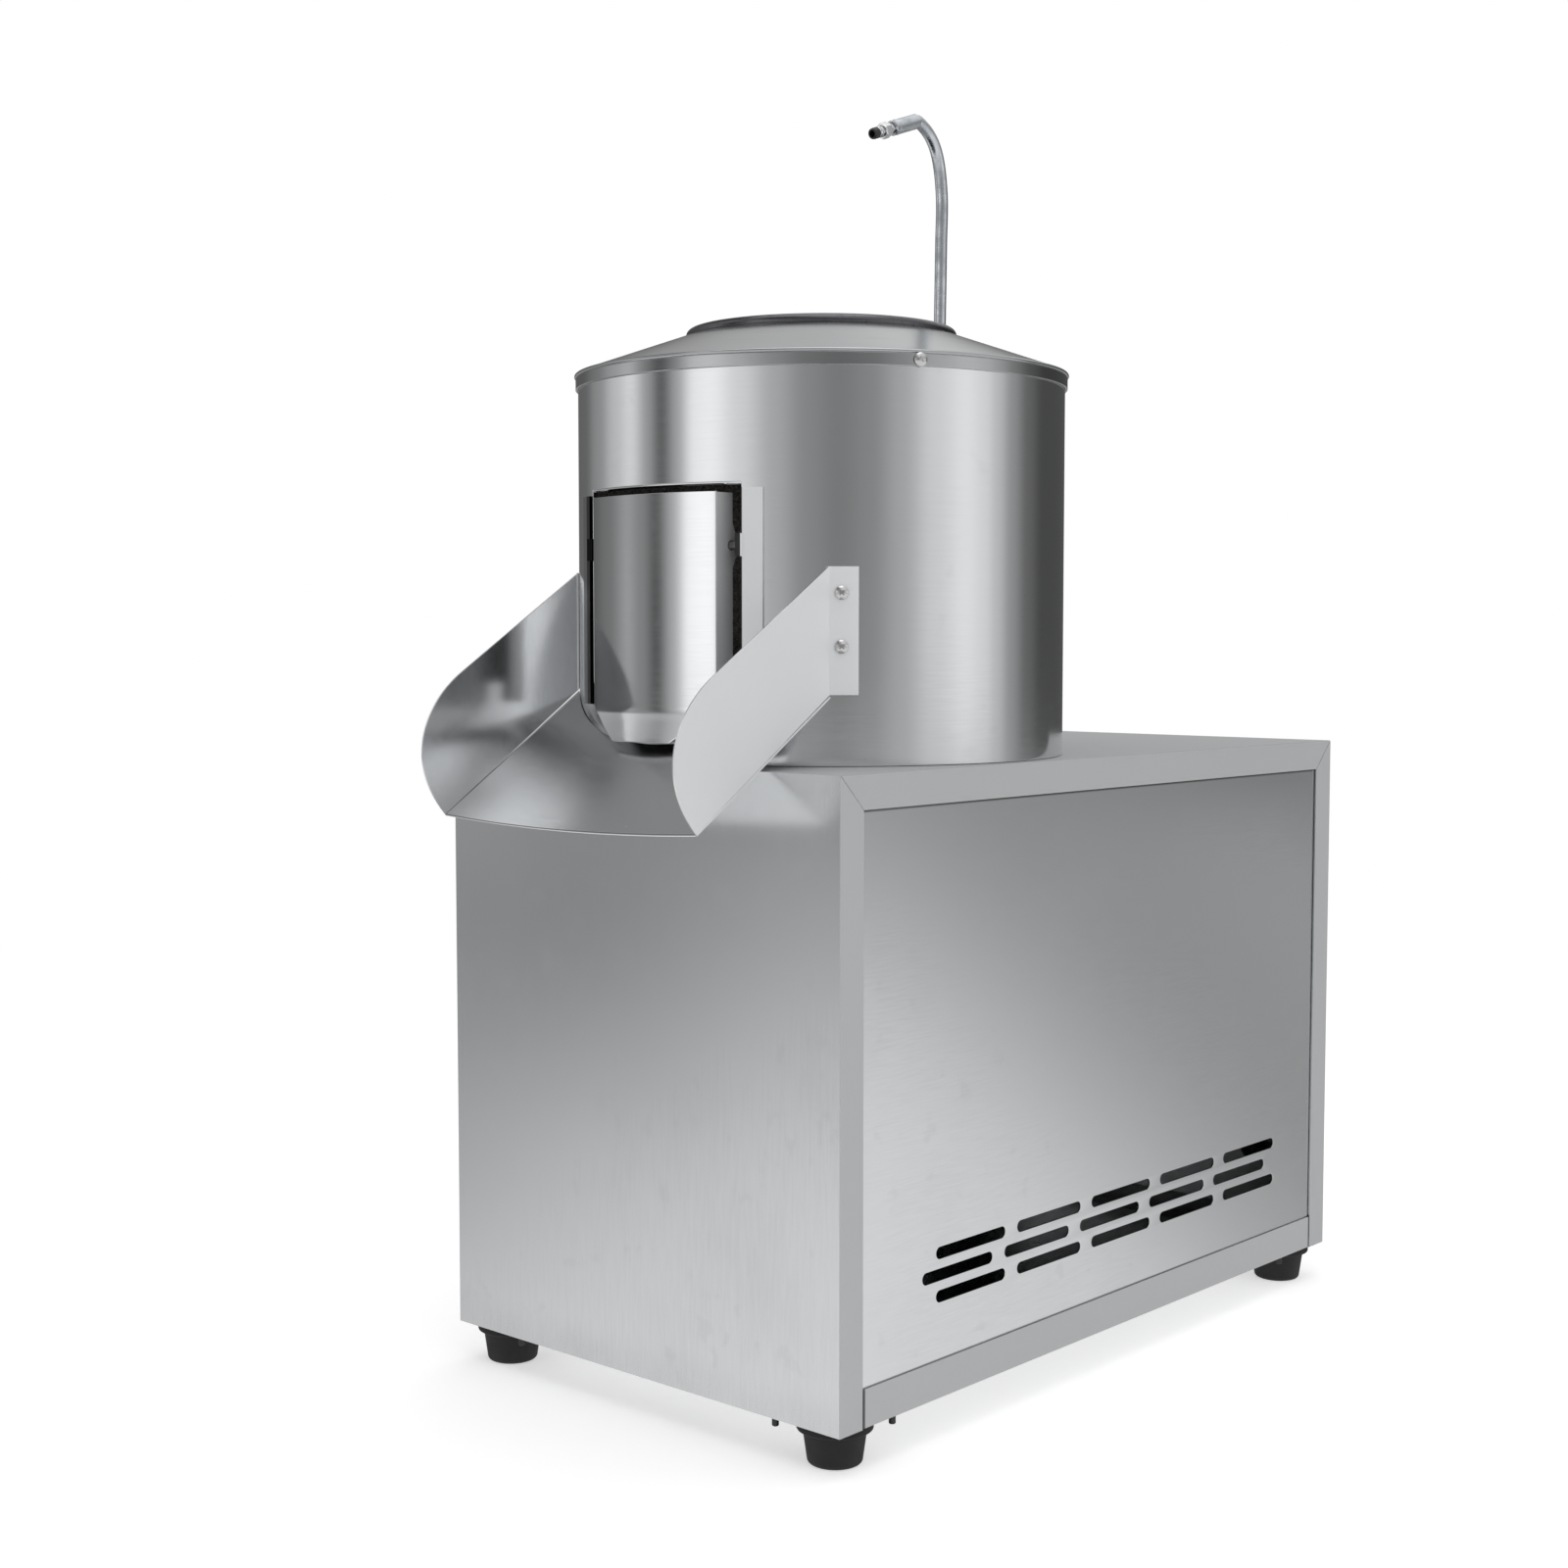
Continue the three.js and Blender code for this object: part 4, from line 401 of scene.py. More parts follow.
def sheet_piece(name, place, across, along, thickness, bevel=0.0, offset=-1, skip=None):
    """A grid with the thickness of a sheet and softened edges."""
    piece = grid_piece(name, place, across, along, skip)
    wall = piece.modifiers.new("Sheet", "SOLIDIFY")
    wall.thickness = thickness
    wall.offset = offset
    wall.use_even_offset = True
    if bevel:
        add_bevel(piece, bevel)
    return bake_modifiers(piece)


def round_drum(radius, angle, z):
    """A point round the drum: angle 0 is the front, positive towards +X."""
    return Vector((radius * math.sin(angle), DRUM_Y - radius * math.cos(angle), z))


def facing_x(x):
    """Puts a flat outline of Y and Z across the X axis."""
    return Matrix(((0, 0, 1, x), (1, 0, 0, 0), (0, 1, 0, 0), (0, 0, 0, 1)))


def outline_piece(name, loops, thickness, x, bevel=0.0003):
    """A flat sheet across the X axis: loops of Y and Z, filled and thickened, the rest holes."""
    curve = bpy.data.curves.new(name, "CURVE")
    curve.dimensions = "2D"
    curve.fill_mode = "BOTH"
    curve.extrude = thickness / 2 - bevel
    curve.bevel_depth = bevel
    curve.bevel_resolution = 1
    curve.offset = -bevel
    for loop in loops:
        spline = curve.splines.new("POLY")
        spline.points.add(len(loop) - 1)
        spline.use_cyclic_u = True
        for point, (u, v) in zip(spline.points, loop):
            point.co = (u, v, 0, 1)
    holder = new_object(name, curve)
    graph = bpy.context.evaluated_depsgraph_get()
    mesh = bpy.data.meshes.new_from_object(holder.evaluated_get(graph))
    bpy.data.objects.remove(holder)
    bpy.data.curves.remove(curve)
    mesh.transform(facing_x(x))
    with opened(mesh) as shape:
        merge(shape)
        turn_outwards(shape)
    mesh.name = name
    smooth(mesh)
    return new_object(name, mesh)


def united(name, pieces):
    """Several pieces as one mesh."""
    mesh = bpy.data.meshes.new(name)
    with opened(mesh) as shape:
        for piece in pieces:
            shape.from_mesh(piece.data)
    for piece in pieces:
        bpy.data.objects.remove(piece)
    smooth(mesh)
    return new_object(name, mesh)


def put(piece, material, slot, nodes, body="frame"):
    """Gives a finished piece its material, its body and the solids it replaces; its slot is not
    used.
    """
    weights = piece.modifiers.new("Normals", "WEIGHTED_NORMAL")
    weights.keep_sharp = True
    apply_modifiers(piece)
    piece.data.materials.clear()
    piece.data.materials.append(material)
    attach(piece, body)
    if nodes:
        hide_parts(*nodes)


def dress(node, bevel, material, slot, body="frame", segments=2):
    """Replaces a solid by a copy with whole flat faces and slightly rounded edges."""
    mesh = frame["nodes"][node].data.copy()
    with opened(mesh) as shape:
        merge(shape)
        bmesh.ops.dissolve_limit(shape, angle_limit=FLAT_ANGLE, verts=shape.verts,
                                 edges=shape.edges)
    mesh.materials.clear()
    piece = bake_modifiers(add_bevel(new_object("dressed_" + node, mesh), bevel, segments))
    least, most = low(node), high(node)
    for vertex in piece.data.vertices:
        vertex.co = [min(max(part, a), b) for part, a, b in zip(vertex.co, least, most)]
    put(piece, material, slot, [node], body)


# Node trees

class Value:
    """A socket of a node tree; sums and products of it add Math nodes."""

    def __init__(self, graph, socket):
        self.graph = graph
        self.socket = socket

    def math(self, operation, *others):
        values = dict(enumerate((self, *others)))
        return self.graph.node("ShaderNodeMath", {"operation": operation}, values)

    def __add__(self, other):
        return self.math("ADD", other)

    __radd__ = __add__

    def __sub__(self, other):
        return self.math("SUBTRACT", other)

    def __rsub__(self, other):
        return self.graph.node("ShaderNodeMath", {"operation": "SUBTRACT"}, {0: other, 1: self})

    def __mul__(self, other):
        return self.math("MULTIPLY", other)

    __rmul__ = __mul__

    def __truediv__(self, other):
        return self.math("DIVIDE", other)

    def __pow__(self, other):
        return self.math("POWER", other)

    def above(self, start, end):
        """0 below start, 1 above end and smooth in between."""
        return self.graph.node(
            "ShaderNodeMapRange", {"interpolation_type": "SMOOTHSTEP"},
            {"Value": self, "From Min": start, "From Max": end})

    def below(self, start, end):
        return 1 - self.above(start, end)

    def part(self, name):
        """X, Y or Z of a vector."""
        return self.graph.node("ShaderNodeSeparateXYZ", {}, {"Vector": self}, name)


class Graph:
    """A node tree and the way in which this file adds nodes to it."""

    def __init__(self, tree):
        self.tree = tree
        tree.nodes.clear()

    def node(self, kind, settings, inputs, output=0):
        node = self.tree.nodes.new(kind)
        for name, setting in settings.items():
            if name == "stops":
                self.set_stops(node.color_ramp, setting)
            else:
                setattr(node, name, setting)
        for name, value in inputs.items():
            if isinstance(value, Value):
                self.tree.links.new(value.socket, node.inputs[name])
            else:
                node.inputs[name].default_value = value
        return Value(self, node.outputs[output]) if node.outputs else node

    @staticmethod
    def set_stops(ramp, stops):
        ramp.interpolation = "EASE"
        while len(ramp.elements) < len(stops):
            ramp.elements.new(0.5)
        for element, (place, level) in zip(ramp.elements, stops):
            element.position = place
            element.color = grey(level)


class Shader(Graph):
    """The few patterns that the finishes are made of."""

    def place(self):
        return self.node("ShaderNodeTexCoord", {}, {}, "Object")

    def stretched(self, scale):
        """Object coordinates, scaled differently along each axis."""
        return self.node("ShaderNodeVectorMath", {"operation": "MULTIPLY"},
                         {0: self.place(), 1: scale})

    def grains(self, scale, output=0):
        return self.node("ShaderNodeTexVoronoi", {}, {"Vector": self.place(), "Scale": scale},
                         output)

    def noise(self, scale, detail=3.0, vector=None):
        return self.node("ShaderNodeTexNoise", {},
                         {"Vector": vector or self.place(), "Scale": scale, "Detail": detail})

    def mix(self, share, first, second):
        """A colour between two colours."""
        return self.node("ShaderNodeMix", {"data_type": "RGBA"},
                         {"Factor": share, 6: first, 7: second}, 2)

    def ramp(self, value, stops):
        return self.node("ShaderNodeValToRGB", {"stops": stops}, {"Fac": value})

    def blend(self, share, first, second):
        """A surface between two surfaces."""
        return self.node("ShaderNodeMixShader", {}, {0: share, 1: first, 2: second})

    def ray(self, kind):
        return self.node("ShaderNodeLightPath", {}, {}, kind)

    def bump(self, height, distance, strength=1.0):
        return self.node("ShaderNodeBump", {},
                         {"Height": height, "Distance": distance, "Strength": strength})


def shade(colour, factor):
    return (*(min(1, part * factor) for part in colour[:3]), 1)


def grey(level):
    return (level, level, level, 1)


def as_finish(build):
    """Makes a function that builds a named material once, from its surface's inputs."""
    @functools.wraps(build)
    def made(name, *values, **settings):
        material = bpy.data.materials.get(name)
        if not material:
            material = bpy.data.materials.new(name)
            material.use_nodes = True
            shader = Shader(material.node_tree)
            inputs = build(shader, *values, **settings)
            surface = shader.node("ShaderNodeBsdfPrincipled", {}, inputs)
            shader.node("ShaderNodeOutputMaterial", {}, {"Surface": surface})
        return material
    return made


# Finishes

@as_finish
def sheet_steel(shader, roughness=0.24, grain=DOWN_GRAIN, tint=1.0, splash_height=None,
                satin_side=None, satin_top=NOWHERE, satin_tint=1.35, painted_shade=None, painted_shade_tint=0.28):
    """Stainless sheet: long fine grain, soft smudges and water marks.

    splash_height is how high splashes reach; beyond satin_side, left and right, and above
    satin_top the sheet is matt, its top painted darker as painted shade; the shade mask gives
    where painted shade darkens the sheet.
    """
    colour = bpy.context.scene.peeler_finish.steel
    streaks = shader.noise(1.0, 4.0, shader.stretched(grain))
    crossed = shader.noise(1.0, 2.0, shader.stretched(tuple(part * 2.3 for part in grain)))
    smudges = shader.noise(7.0, 4.0).above(0.42, 0.72)
    marks = shader.noise(55.0, 2.0).above(0.62, 0.72)
    dull = smudges * 0.035 + marks * 0.025 + (streaks - 0.5) * 0.1 + (crossed - 0.5) * 0.06
    shadow = smudges * 0.14 + marks * 0.1 + (streaks - 0.5) * 0.3
    if splash_height:
        place = shader.place().part("Z")
        splashes = place.below(splash_height, splash_height + 0.03) * shader.noise(30.0, 5.0)
        shadow = shadow + splashes * 0.3
        dull = dull + splashes * 0.12
    bright = shader.mix(shadow, shade(colour, tint), shade(colour, tint * 0.84))
    metallic = 1.0
    if satin_side:
        place = shader.place()
        aside = place.part("X").math("ABSOLUTE").above(satin_side - EDGE_BLUR, satin_side)
        over = place.part("Z").above(satin_top - EDGE_BLUR, satin_top)
        satin = aside.math("MAXIMUM", over)
        # Painted shade: the matt top is painted darker than the matt sides.
        pale = shader.mix(over, shade(colour, satin_tint), shade(colour, satin_tint * 0.78))
        bright = shader.mix(satin, bright, pale)
        metallic = 1 - satin * 0.75
        dull = dull + satin * 0.3
    # Painted shade: where the mask is, the sheet is painted darker.
    if painted_shade:
        bright = shader.mix(painted_shade(shader.place()), bright, shade(colour, tint * painted_shade_tint))
    return {
        "Base Color": bright,
        "Metallic": metallic,
        "Roughness": dull + roughness,
        "Normal": shader.bump(streaks, 0.000004, 0.5),
    }


@as_finish
def turned_steel(shader, colour=(0.62, 0.62, 0.61), roughness=0.3):
    """Plated or turned steel of the screws, bolts, shafts and rods."""
    rings = shader.noise(1.0, 2.0, shader.stretched((300, 300, 2500)))
    spots = shader.noise(180.0, 3.0).above(0.5, 0.75)
    return {
        "Base Color": shader.mix(spots * 0.5, shade(colour, 1), shade(colour, 0.7)),
        "Metallic": 1.0,
        "Roughness": rings * 0.12 + spots * 0.1 + (roughness - 0.06),
        "Normal": shader.bump(rings, 0.00002, 0.6),
    }


@as_finish
def pipe_metal(shader):
    """The water pipe's dull plating, cloudy and lightly pitted."""
    clouds = shader.noise(70.0, 4.0).above(0.35, 0.7)
    pits = shader.noise(900.0, 2.0).above(0.55, 0.8)
    return {
        "Base Color": shader.mix(clouds + pits * 0.3, (0.64, 0.67, 0.7, 1), (0.42, 0.45, 0.48, 1)),
        "Metallic": 1.0,
        "Roughness": clouds * 0.16 + pits * 0.1 + 0.2,
        "Normal": shader.bump(pits * -1 + clouds * 0.3, 0.00012, 0.6),
    }


@as_finish
def bonded_grit(shader, grain=650.0, depth=0.0007):
    """Coarse abrasive: broken grains with glints, in a dark binder."""
    colour = bpy.context.scene.peeler_finish.grit
    grains = shader.grains(grain)
    tone = shader.grains(grain, "Color").part("X")
    fine = shader.noise(grain * 3, 2.0)
    worn = shader.noise(18.0, 3.0).above(0.45, 0.7)
    glint = tone.above(0.86, 0.96)
    return {
        "Base Color": shader.mix(tone * 0.6 + worn * 0.3, shade(colour, 0.55), shade(colour, 2.6)),
        "Metallic": glint * 0.5,
        "Roughness": 0.95 - glint * 0.6,
        "Normal": shader.bump(1 - grains + fine * 0.3, depth),
    }


@as_finish
def moulded_rubber(shader, dust_height=0.03):
    """Black rubber with a pale bloom and dust low down."""
    colour = bpy.context.scene.peeler_finish.rubber
    bloom = shader.noise(60.0, 4.0).above(0.4, 0.75)
    dust = shader.place().part("Z").below(0.002, dust_height) * shader.noise(220.0, 3.0)
    return {
        "Base Color": shader.mix(bloom * 0.25 + dust * 0.25, shade(colour, 1), shade(colour, 5)),
        "Roughness": bloom * 0.15 + 0.55,
        "Specular IOR Level": 0.4,
        "Normal": shader.bump(shader.noise(900.0, 2.0), 0.0001, 0.4),
    }


@as_finish
def moulded_plastic(shader, colour):
    """Plastic with a fine pebbled skin, rubbed paler in places."""
    rub = shader.noise(45.0, 4.0).above(0.5, 0.8)
    return {
        "Base Color": shader.mix(rub * 0.25, shade(colour, 1), shade(colour, 1.5)),
        "Roughness": 0.38 + rub * 0.12,
        "Normal": shader.bump(shader.grains(1200.0), 0.00012, 0.35),
    }


@as_finish
def machine_paint(shader, colour, roughness=0.42):
    """Sprayed paint: orange peel, dust on what faces up and small chips down to the metal."""
    peel = shader.noise(420.0, 2.0)
    chips = shader.noise(130.0, 5.0).above(0.7, 0.72)
    facing_up = shader.node("ShaderNodeTexCoord", {}, {}, "Normal").part("Z").above(0.3, 1.0)
    dust = facing_up * shader.noise(70.0, 4.0)
    painted = shader.mix(dust * 0.5, shade(colour, 1), (0.32, 0.31, 0.29, 1))
    return {
        "Base Color": shader.mix(chips, painted, grey(0.5)),
        "Metallic": chips * 0.9,
        "Roughness": dust * 0.3 + roughness - chips * 0.1,
        "Normal": shader.bump(peel - chips, 0.0002, 0.4),
    }


@as_finish
def cast_metal(shader, colour, roughness=0.6):
    """A casting's sandy skin, darker in its hollows."""
    skin = shader.noise(260.0, 4.0)
    cloud = shader.noise(25.0, 3.0)
    return {
        "Base Color": shader.mix(skin * 0.5 + cloud * 0.4, shade(colour, 0.7), shade(colour, 1.3)),
        "Metallic": 0.9,
        "Roughness": skin * 0.25 + (roughness - 0.1),
        "Normal": shader.bump(skin, 0.0004, 0.7),
    }


def cabinet_steel():
    """The folded cabinet, painted darker at the upper left of its front as painted shade, and matt
    on its sides and top.
    """
    corner = high("cabinet_wrap")
    front = low("cabinet_wrap").y

    # Painted shade: the front's upper left is painted darker.
    def upper_left_painted_shade(place):
        left = place.part("X").below(-0.06, 0.17)
        outside = place.part("Y").below(front + 0.001, front + 0.002)
        return left * outside * place.part("Z").above(0.16, 0.36) * 0.27

    return sheet_steel("steel_cabinet", 0.2, ACROSS_GRAIN, splash_height=0.03,
                       satin_side=corner.x - 0.0002, satin_top=corner.z - 0.0001,
                       satin_tint=SATIN_TINT, painted_shade=upper_left_painted_shade)


def tray_steel():
    """The base tray, painted dark in each seam at the ends of its skirts as painted shade."""
    end = FLANGE + 0.0012
    front, rear = low("cabinet_wrap").y + end, high("cabinet_wrap").y - end

    # Painted shade: dark lines where the skirts end against the flanges.
    def seam_painted_shade(place):
        y = place.part("Y")
        ahead = y.below(front + 0.0011, front + 0.0014)
        return ahead.math("MAXIMUM", y.above(rear - 0.0014, rear - 0.0011))

    return sheet_steel("steel_tray", 0.22, ACROSS_GRAIN, painted_shade=seam_painted_shade, satin_tint=SATIN_TINT,
                       satin_side=high("cabinet_wrap").x - 0.0002)


def panel_steel():
    """The side panels, with painted shade in the corner under the top flange and beside the rear
    one.
    """
    corner = high("cabinet_wrap") - Vector((0, 1, 1)) * FLANGE

    # Painted shade: darker under the top flange and beside the rear flange.
    def seam_painted_shade(place):
        under = place.part("Z").above(corner.z - 0.0022, corner.z - 0.0008)
        beside = place.part("Y").above(corner.y - 0.003, corner.y - 0.001)
        return under.math("MAXIMUM", beside * 0.6)

    return sheet_steel("steel_side_panel", 0.15, painted_shade=seam_painted_shade)


def chute_steel():
    """The chute, with painted shade on the floor's front edge and in the fold of the wings'
    fronts.
    """
    chute = bpy.context.scene.peeler_chute
    half = chute.half_width
    tip, tip_z, back, back_z = chute_slope(chute)

    # Painted shade: the floor's front edge and the wings' folds are painted darker.
    def front_edge_and_fold_painted_shade(place):
        share = place.part("X") / half
        bow = (1 - share * share) * chute.front_bow
        aside = place.part("X").math("ABSOLUTE")
        between = aside.below(half - 0.0019, half - 0.0015)
        edge = (place.part("Y") + bow).below(tip + 0.0002, tip + 0.0006) * between
        slope = (back_z - tip_z) / (back - tip)
        height = place.part("Z") - (place.part("Y") - tip) * slope - tip_z
        fold = height.below(0.0, 0.05) * (1 - between) * aside.below(half - 0.0005, half - 0.0004)
        ahead = place.part("Y").below(tip + 0.15 * (back - tip), tip + 0.5 * (back - tip))
        return edge.math("MAXIMUM", fold * ahead * 0.7)

    return sheet_steel("steel_chute", 0.2, (60, 700, 60), 1.2, satin_side=half - 0.0004, painted_shade=front_edge_and_fold_painted_shade)


def door_steel(reach):
    """The door, painted darker towards its left as painted shade, and matt outside its side
    returns.
    """
    fold = low("discharge_door").z + bpy.context.scene.peeler_door.lip_drop

    # Painted shade: the face above the lip is painted darker towards the left.
    def left_painted_shade(place):
        return place.part("X").below(-0.04, 0.042) * place.part("Z").above(fold - 0.002, fold)

    return sheet_steel("steel_door", 0.13, DRUM_GRAIN, 1.15, satin_side=reach - 0.0004,
                       satin_tint=0.95, painted_shade=left_painted_shade)


def dark_plastic():
    return moulded_plastic("plastic_black", (0.02, 0.02, 0.022))


def motor_enamel():
    return machine_paint("paint_motor", bpy.context.scene.peeler_finish.paint)


def grey_primer():
    return machine_paint("paint_frame", (0.2, 0.21, 0.22), 0.55)


def grey_iron():
    return cast_metal("iron_casting", (0.09, 0.095, 0.1))


# Geometry node trees

class Growth(Graph):
    """A geometry node tree with named inputs, each a kind of socket and its value."""

    def __init__(self, name, inputs):
        tree = bpy.data.node_groups.new(name, "GeometryNodeTree")
        super().__init__(tree)
        self.values = {}
        tree.interface.new_socket("Geometry", in_out="INPUT", socket_type="NodeSocketGeometry")
        for label, (kind, value) in inputs.items():
            socket = tree.interface.new_socket(
                label, in_out="INPUT", socket_type="NodeSocket" + kind)
            self.values[socket.identifier] = value
            if kind != "Object":
                socket.default_value = value
        tree.interface.new_socket("Geometry", in_out="OUTPUT", socket_type="NodeSocketGeometry")
        self.entry = tree.nodes.new("NodeGroupInput")

    def given(self, label):
        return Value(self, self.entry.outputs[label])

    def grow(self, piece, geometry, material):
        """Closes the tree, runs it on a piece and keeps the result as a plain mesh."""
        whole = self.node("GeometryNodeRealizeInstances", {}, {"Geometry": geometry})
        painted = self.node("GeometryNodeSetMaterial", {},
                            {"Geometry": whole, "Material": material})
        self.node("NodeGroupOutput", {}, {"Geometry": painted})
        modifier = piece.modifiers.new("Growth", "NODES")
        modifier.node_group = self.tree
        for identifier, value in self.values.items():
            modifier[identifier] = value
        return bake_modifiers(piece)


def point_cloud(name, places):
    """A mesh of single points that remember a direction each."""
    mesh = bpy.data.meshes.new(name)
    mesh.from_pydata([tuple(point) for point, _ in places], [], [])
    outward = mesh.attributes.new("outward", "FLOAT_VECTOR", "POINT")
    for item, (_, direction) in zip(outward.data, places):
        item.vector = direction
    return new_object(name, mesh)


def scattered(name, template, places, material):
    """Copies of one template at points, its Z axis along each point's direction."""
    tree = Growth(name + "_scatter", {"Template": ("Object", template), "Size": ("Float", 1.0)})
    outward = tree.node("GeometryNodeInputNamedAttribute", {"data_type": "FLOAT_VECTOR"},
                        {"Name": "outward"})
    turn = tree.node("FunctionNodeAlignRotationToVector", {"axis": "Z"}, {"Vector": outward})
    shape = tree.node("GeometryNodeObjectInfo", {"transform_space": "ORIGINAL"},
                      {"Object": tree.given("Template")}, "Geometry")
    points = tree.node("GeometryNodeMeshToPoints", {}, {"Mesh": tree.given("Geometry")})
    copies = tree.node("GeometryNodeInstanceOnPoints", {}, {
        "Points": points, "Instance": shape, "Rotation": turn, "Scale": tree.given("Size")})
    piece = tree.grow(point_cloud(name, places), copies, material)
    bpy.data.objects.remove(template)
    return piece


def smooth_line(route, steps=12):
    """Points on a smooth line that passes through every point of the route."""
    ends = [2 * route[0] - route[1], *route, 2 * route[-1] - route[-2]]
    points = []
    for before, start, end, after in zip(ends, ends[1:], ends[2:], ends[3:]):
        gaps = [math.sqrt((b - a).length)
                for a, b in ((before, start), (start, end), (end, after))]
        lead = (start - before) / gaps[0] - (end - before) / (gaps[0] + gaps[1])
        trail = (after - end) / gaps[2] - (after - start) / (gaps[1] + gaps[2])
        pace = (end - start) / gaps[1]
        leave = (lead + pace) * gaps[1]
        arrive = (trail + pace) * gaps[1]
        for i in range(steps):
            t = i / steps
            points.append(start + leave * t
                          + (3 * (end - start) - 2 * leave - arrive) * t ** 2
                          + (2 * (start - end) + leave + arrive) * t ** 3)
    return [*points, route[-1]]


def tube(name, route, radius, bore, material):
    """A hollow tube along a smooth line through the route's points."""
    curve = bpy.data.curves.new(name + "_line", "CURVE")
    curve.dimensions = "3D"
    line_points = smooth_line(route)
    spline = curve.splines.new("POLY")
    spline.points.add(len(line_points) - 1)
    for knot, place in zip(spline.points, line_points):
        knot.co = (*place, 1)
    holder = new_object(name + "_line", curve)
    tree = Growth(name + "_sweep", {"Line": ("Object", holder), "Radius": ("Float", radius),
                                    "Bore": ("Float", bore), "Sides": ("Int", 40)})
    line = tree.node("GeometryNodeObjectInfo", {}, {"Object": tree.given("Line")}, "Geometry")
    walls = []
    for size in ("Radius", "Bore"):
        ring = tree.node("GeometryNodeCurvePrimitiveCircle", {},
                         {"Resolution": tree.given("Sides"), "Radius": tree.given(size)})
        walls.append(tree.node("GeometryNodeCurveToMesh", {},
                               {"Curve": line, "Profile Curve": ring, "Fill Caps": False}))
    inside = tree.node("GeometryNodeFlipFaces", {}, {"Mesh": walls[1]})
    both = tree.node("GeometryNodeJoinGeometry", {}, {"Geometry": walls[0]})
    tree.tree.links.new(inside.socket, both.socket.node.inputs["Geometry"])
    piece = tree.grow(new_object(name, bpy.data.meshes.new(name)), both, material)
    bpy.data.objects.remove(holder)
    close_tube(piece)
    return piece


def close_tube(piece):
    """Bridges the two open ends between a tube's outer and inner wall."""
    with opened(piece.data) as shape:
        merge(shape)
        rims = [edge for edge in shape.edges if edge.is_boundary]
        rims.sort(key=lambda edge: edge.verts[0].co.z + edge.verts[1].co.z)
        half = len(rims) // 2
        for rim in (rims[:half], rims[half:]):
            bmesh.ops.bridge_loops(shape, edges=rim)
        turn_outwards(shape)
    smooth(piece.data)


# Cabinet

def vent_loop(y, z, span, radius, steps=12):
    """The outline of one vent between the centres of its round ends."""
    turns = [math.pi * (i / steps - 0.5) for i in range(steps + 1)]
    right = [(y + span + radius * math.cos(t), z + radius * math.sin(t)) for t in turns]
    left = [(y - radius * math.cos(t), z - radius * math.sin(t)) for t in turns]
    return right + left


def vent_loops():
    """The vents of a side panel in their rows, every second row set forward."""
    cabinet = bpy.context.scene.peeler_cabinet
    front = low("cabinet_wrap").y + cabinet.vent_setback
    base = low("cabinet_wrap").z + cabinet.vent_height
    return [vent_loop(front - row % 2 * cabinet.vent_stagger + column * cabinet.vent_pitch,
                      base + row * cabinet.vent_stagger, cabinet.vent_span, cabinet.vent_radius)
            for row in range(cabinet.vent_rows) for column in range(cabinet.vents_in_row)]


def make_panels():
    for side in ("right", "left"):
        node = "side_panel_" + side
        least, most = low(node), high(node)
        border = [(least.y, least.z), (most.y, least.z), (most.y, most.z), (least.y, most.z)]
        panel = outline_piece("panel_" + side, [border, *vent_loops()], most.x - least.x,
                              (least.x + most.x) / 2)
        put(panel, panel_steel(), "panel_steel", [node])


def make_cabinet():
    dress("cabinet_wrap", 0.0006, cabinet_steel(), "cabinet_steel")
    dress("base_tray", 0.0004, tray_steel(), "tray_steel")
    dress("machine_plate", 0.0008, grey_primer(), "frame_steel")


def make_feet():
    """Rubber feet with a rolled brim, the bolts that hold them, and studs beside them."""
    corners = ("front_right", "front_left", "rear_right", "rear_left")
    nodes = ["foot_" + corner for corner in corners]
    least, most = low(nodes[0]), high(nodes[0])
    top = most.z
    size = (most.x - least.x) / 2
    body, tip, brim = size * 0.9, size * 0.66, size + 0.002
    hole, seat, seat_depth = 0.0046, 0.009, 0.008
    brim_depth, brim_roll, neck_roll = 0.006, 0.0014, 0.0015
    neck = top - brim_depth - neck_roll
    profile = [
        (seat, 0), (tip, 0), *arc(tip, 0.003, 0.003, -90, 0, 5),
        (body, neck), *arc(body + neck_roll, neck, neck_roll, 180, 90, 3),
        *arc(brim - brim_roll, top - brim_depth + brim_roll, brim_roll, -90, 0, 4),
        *arc(brim - brim_roll, top - brim_roll, brim_roll, 0, 90, 4),
        (hole, top), (hole, top - seat_depth), (seat, top - seat_depth),
    ]
    places = [(Vector((middle(node).x, middle(node).y, 0)), UPWARDS) for node in nodes]
    rubber = moulded_rubber("rubber_feet")
    feet = scattered("feet", lathe("foot_template", profile, 64), places, rubber)
    put(feet, rubber, "foot_rubber", nodes)
    for corner in corners:
        dress("foot_bolt_" + corner, 0.0006, turned_steel("steel_bolts"), "bolt_steel")
    make_studs()


def make_studs():
    """Blackened studs with washers under the tray, two beside each foot."""
    least, most = low("cabinet_wrap"), high("cabinet_wrap")
    profile = [
        (0, -0.0076), (0.0018, -0.0076), (0.0023, -0.0071), (0.0023, -0.0014), (0.0036, -0.0014),
        (0.0038, -0.0012), (0.0038, -0.0002), (0.0036, 0), (0, 0),
    ]
    insets = ((0.0065, 0.06), (0.06, 0.0065))
    places = [(Vector((x, y, low("base_tray").z)), UPWARDS)
              for aside, ahead in insets
              for x in (least.x + aside, most.x - aside)
              for y in (least.y + ahead, most.y - ahead)]
    metal = turned_steel("steel_studs", (0.06, 0.06, 0.06), 0.4)
    studs = scattered("tray_studs", lathe("stud_template", profile, 24), places, metal)
    put(studs, metal, "bolt_steel", [])


# Drum

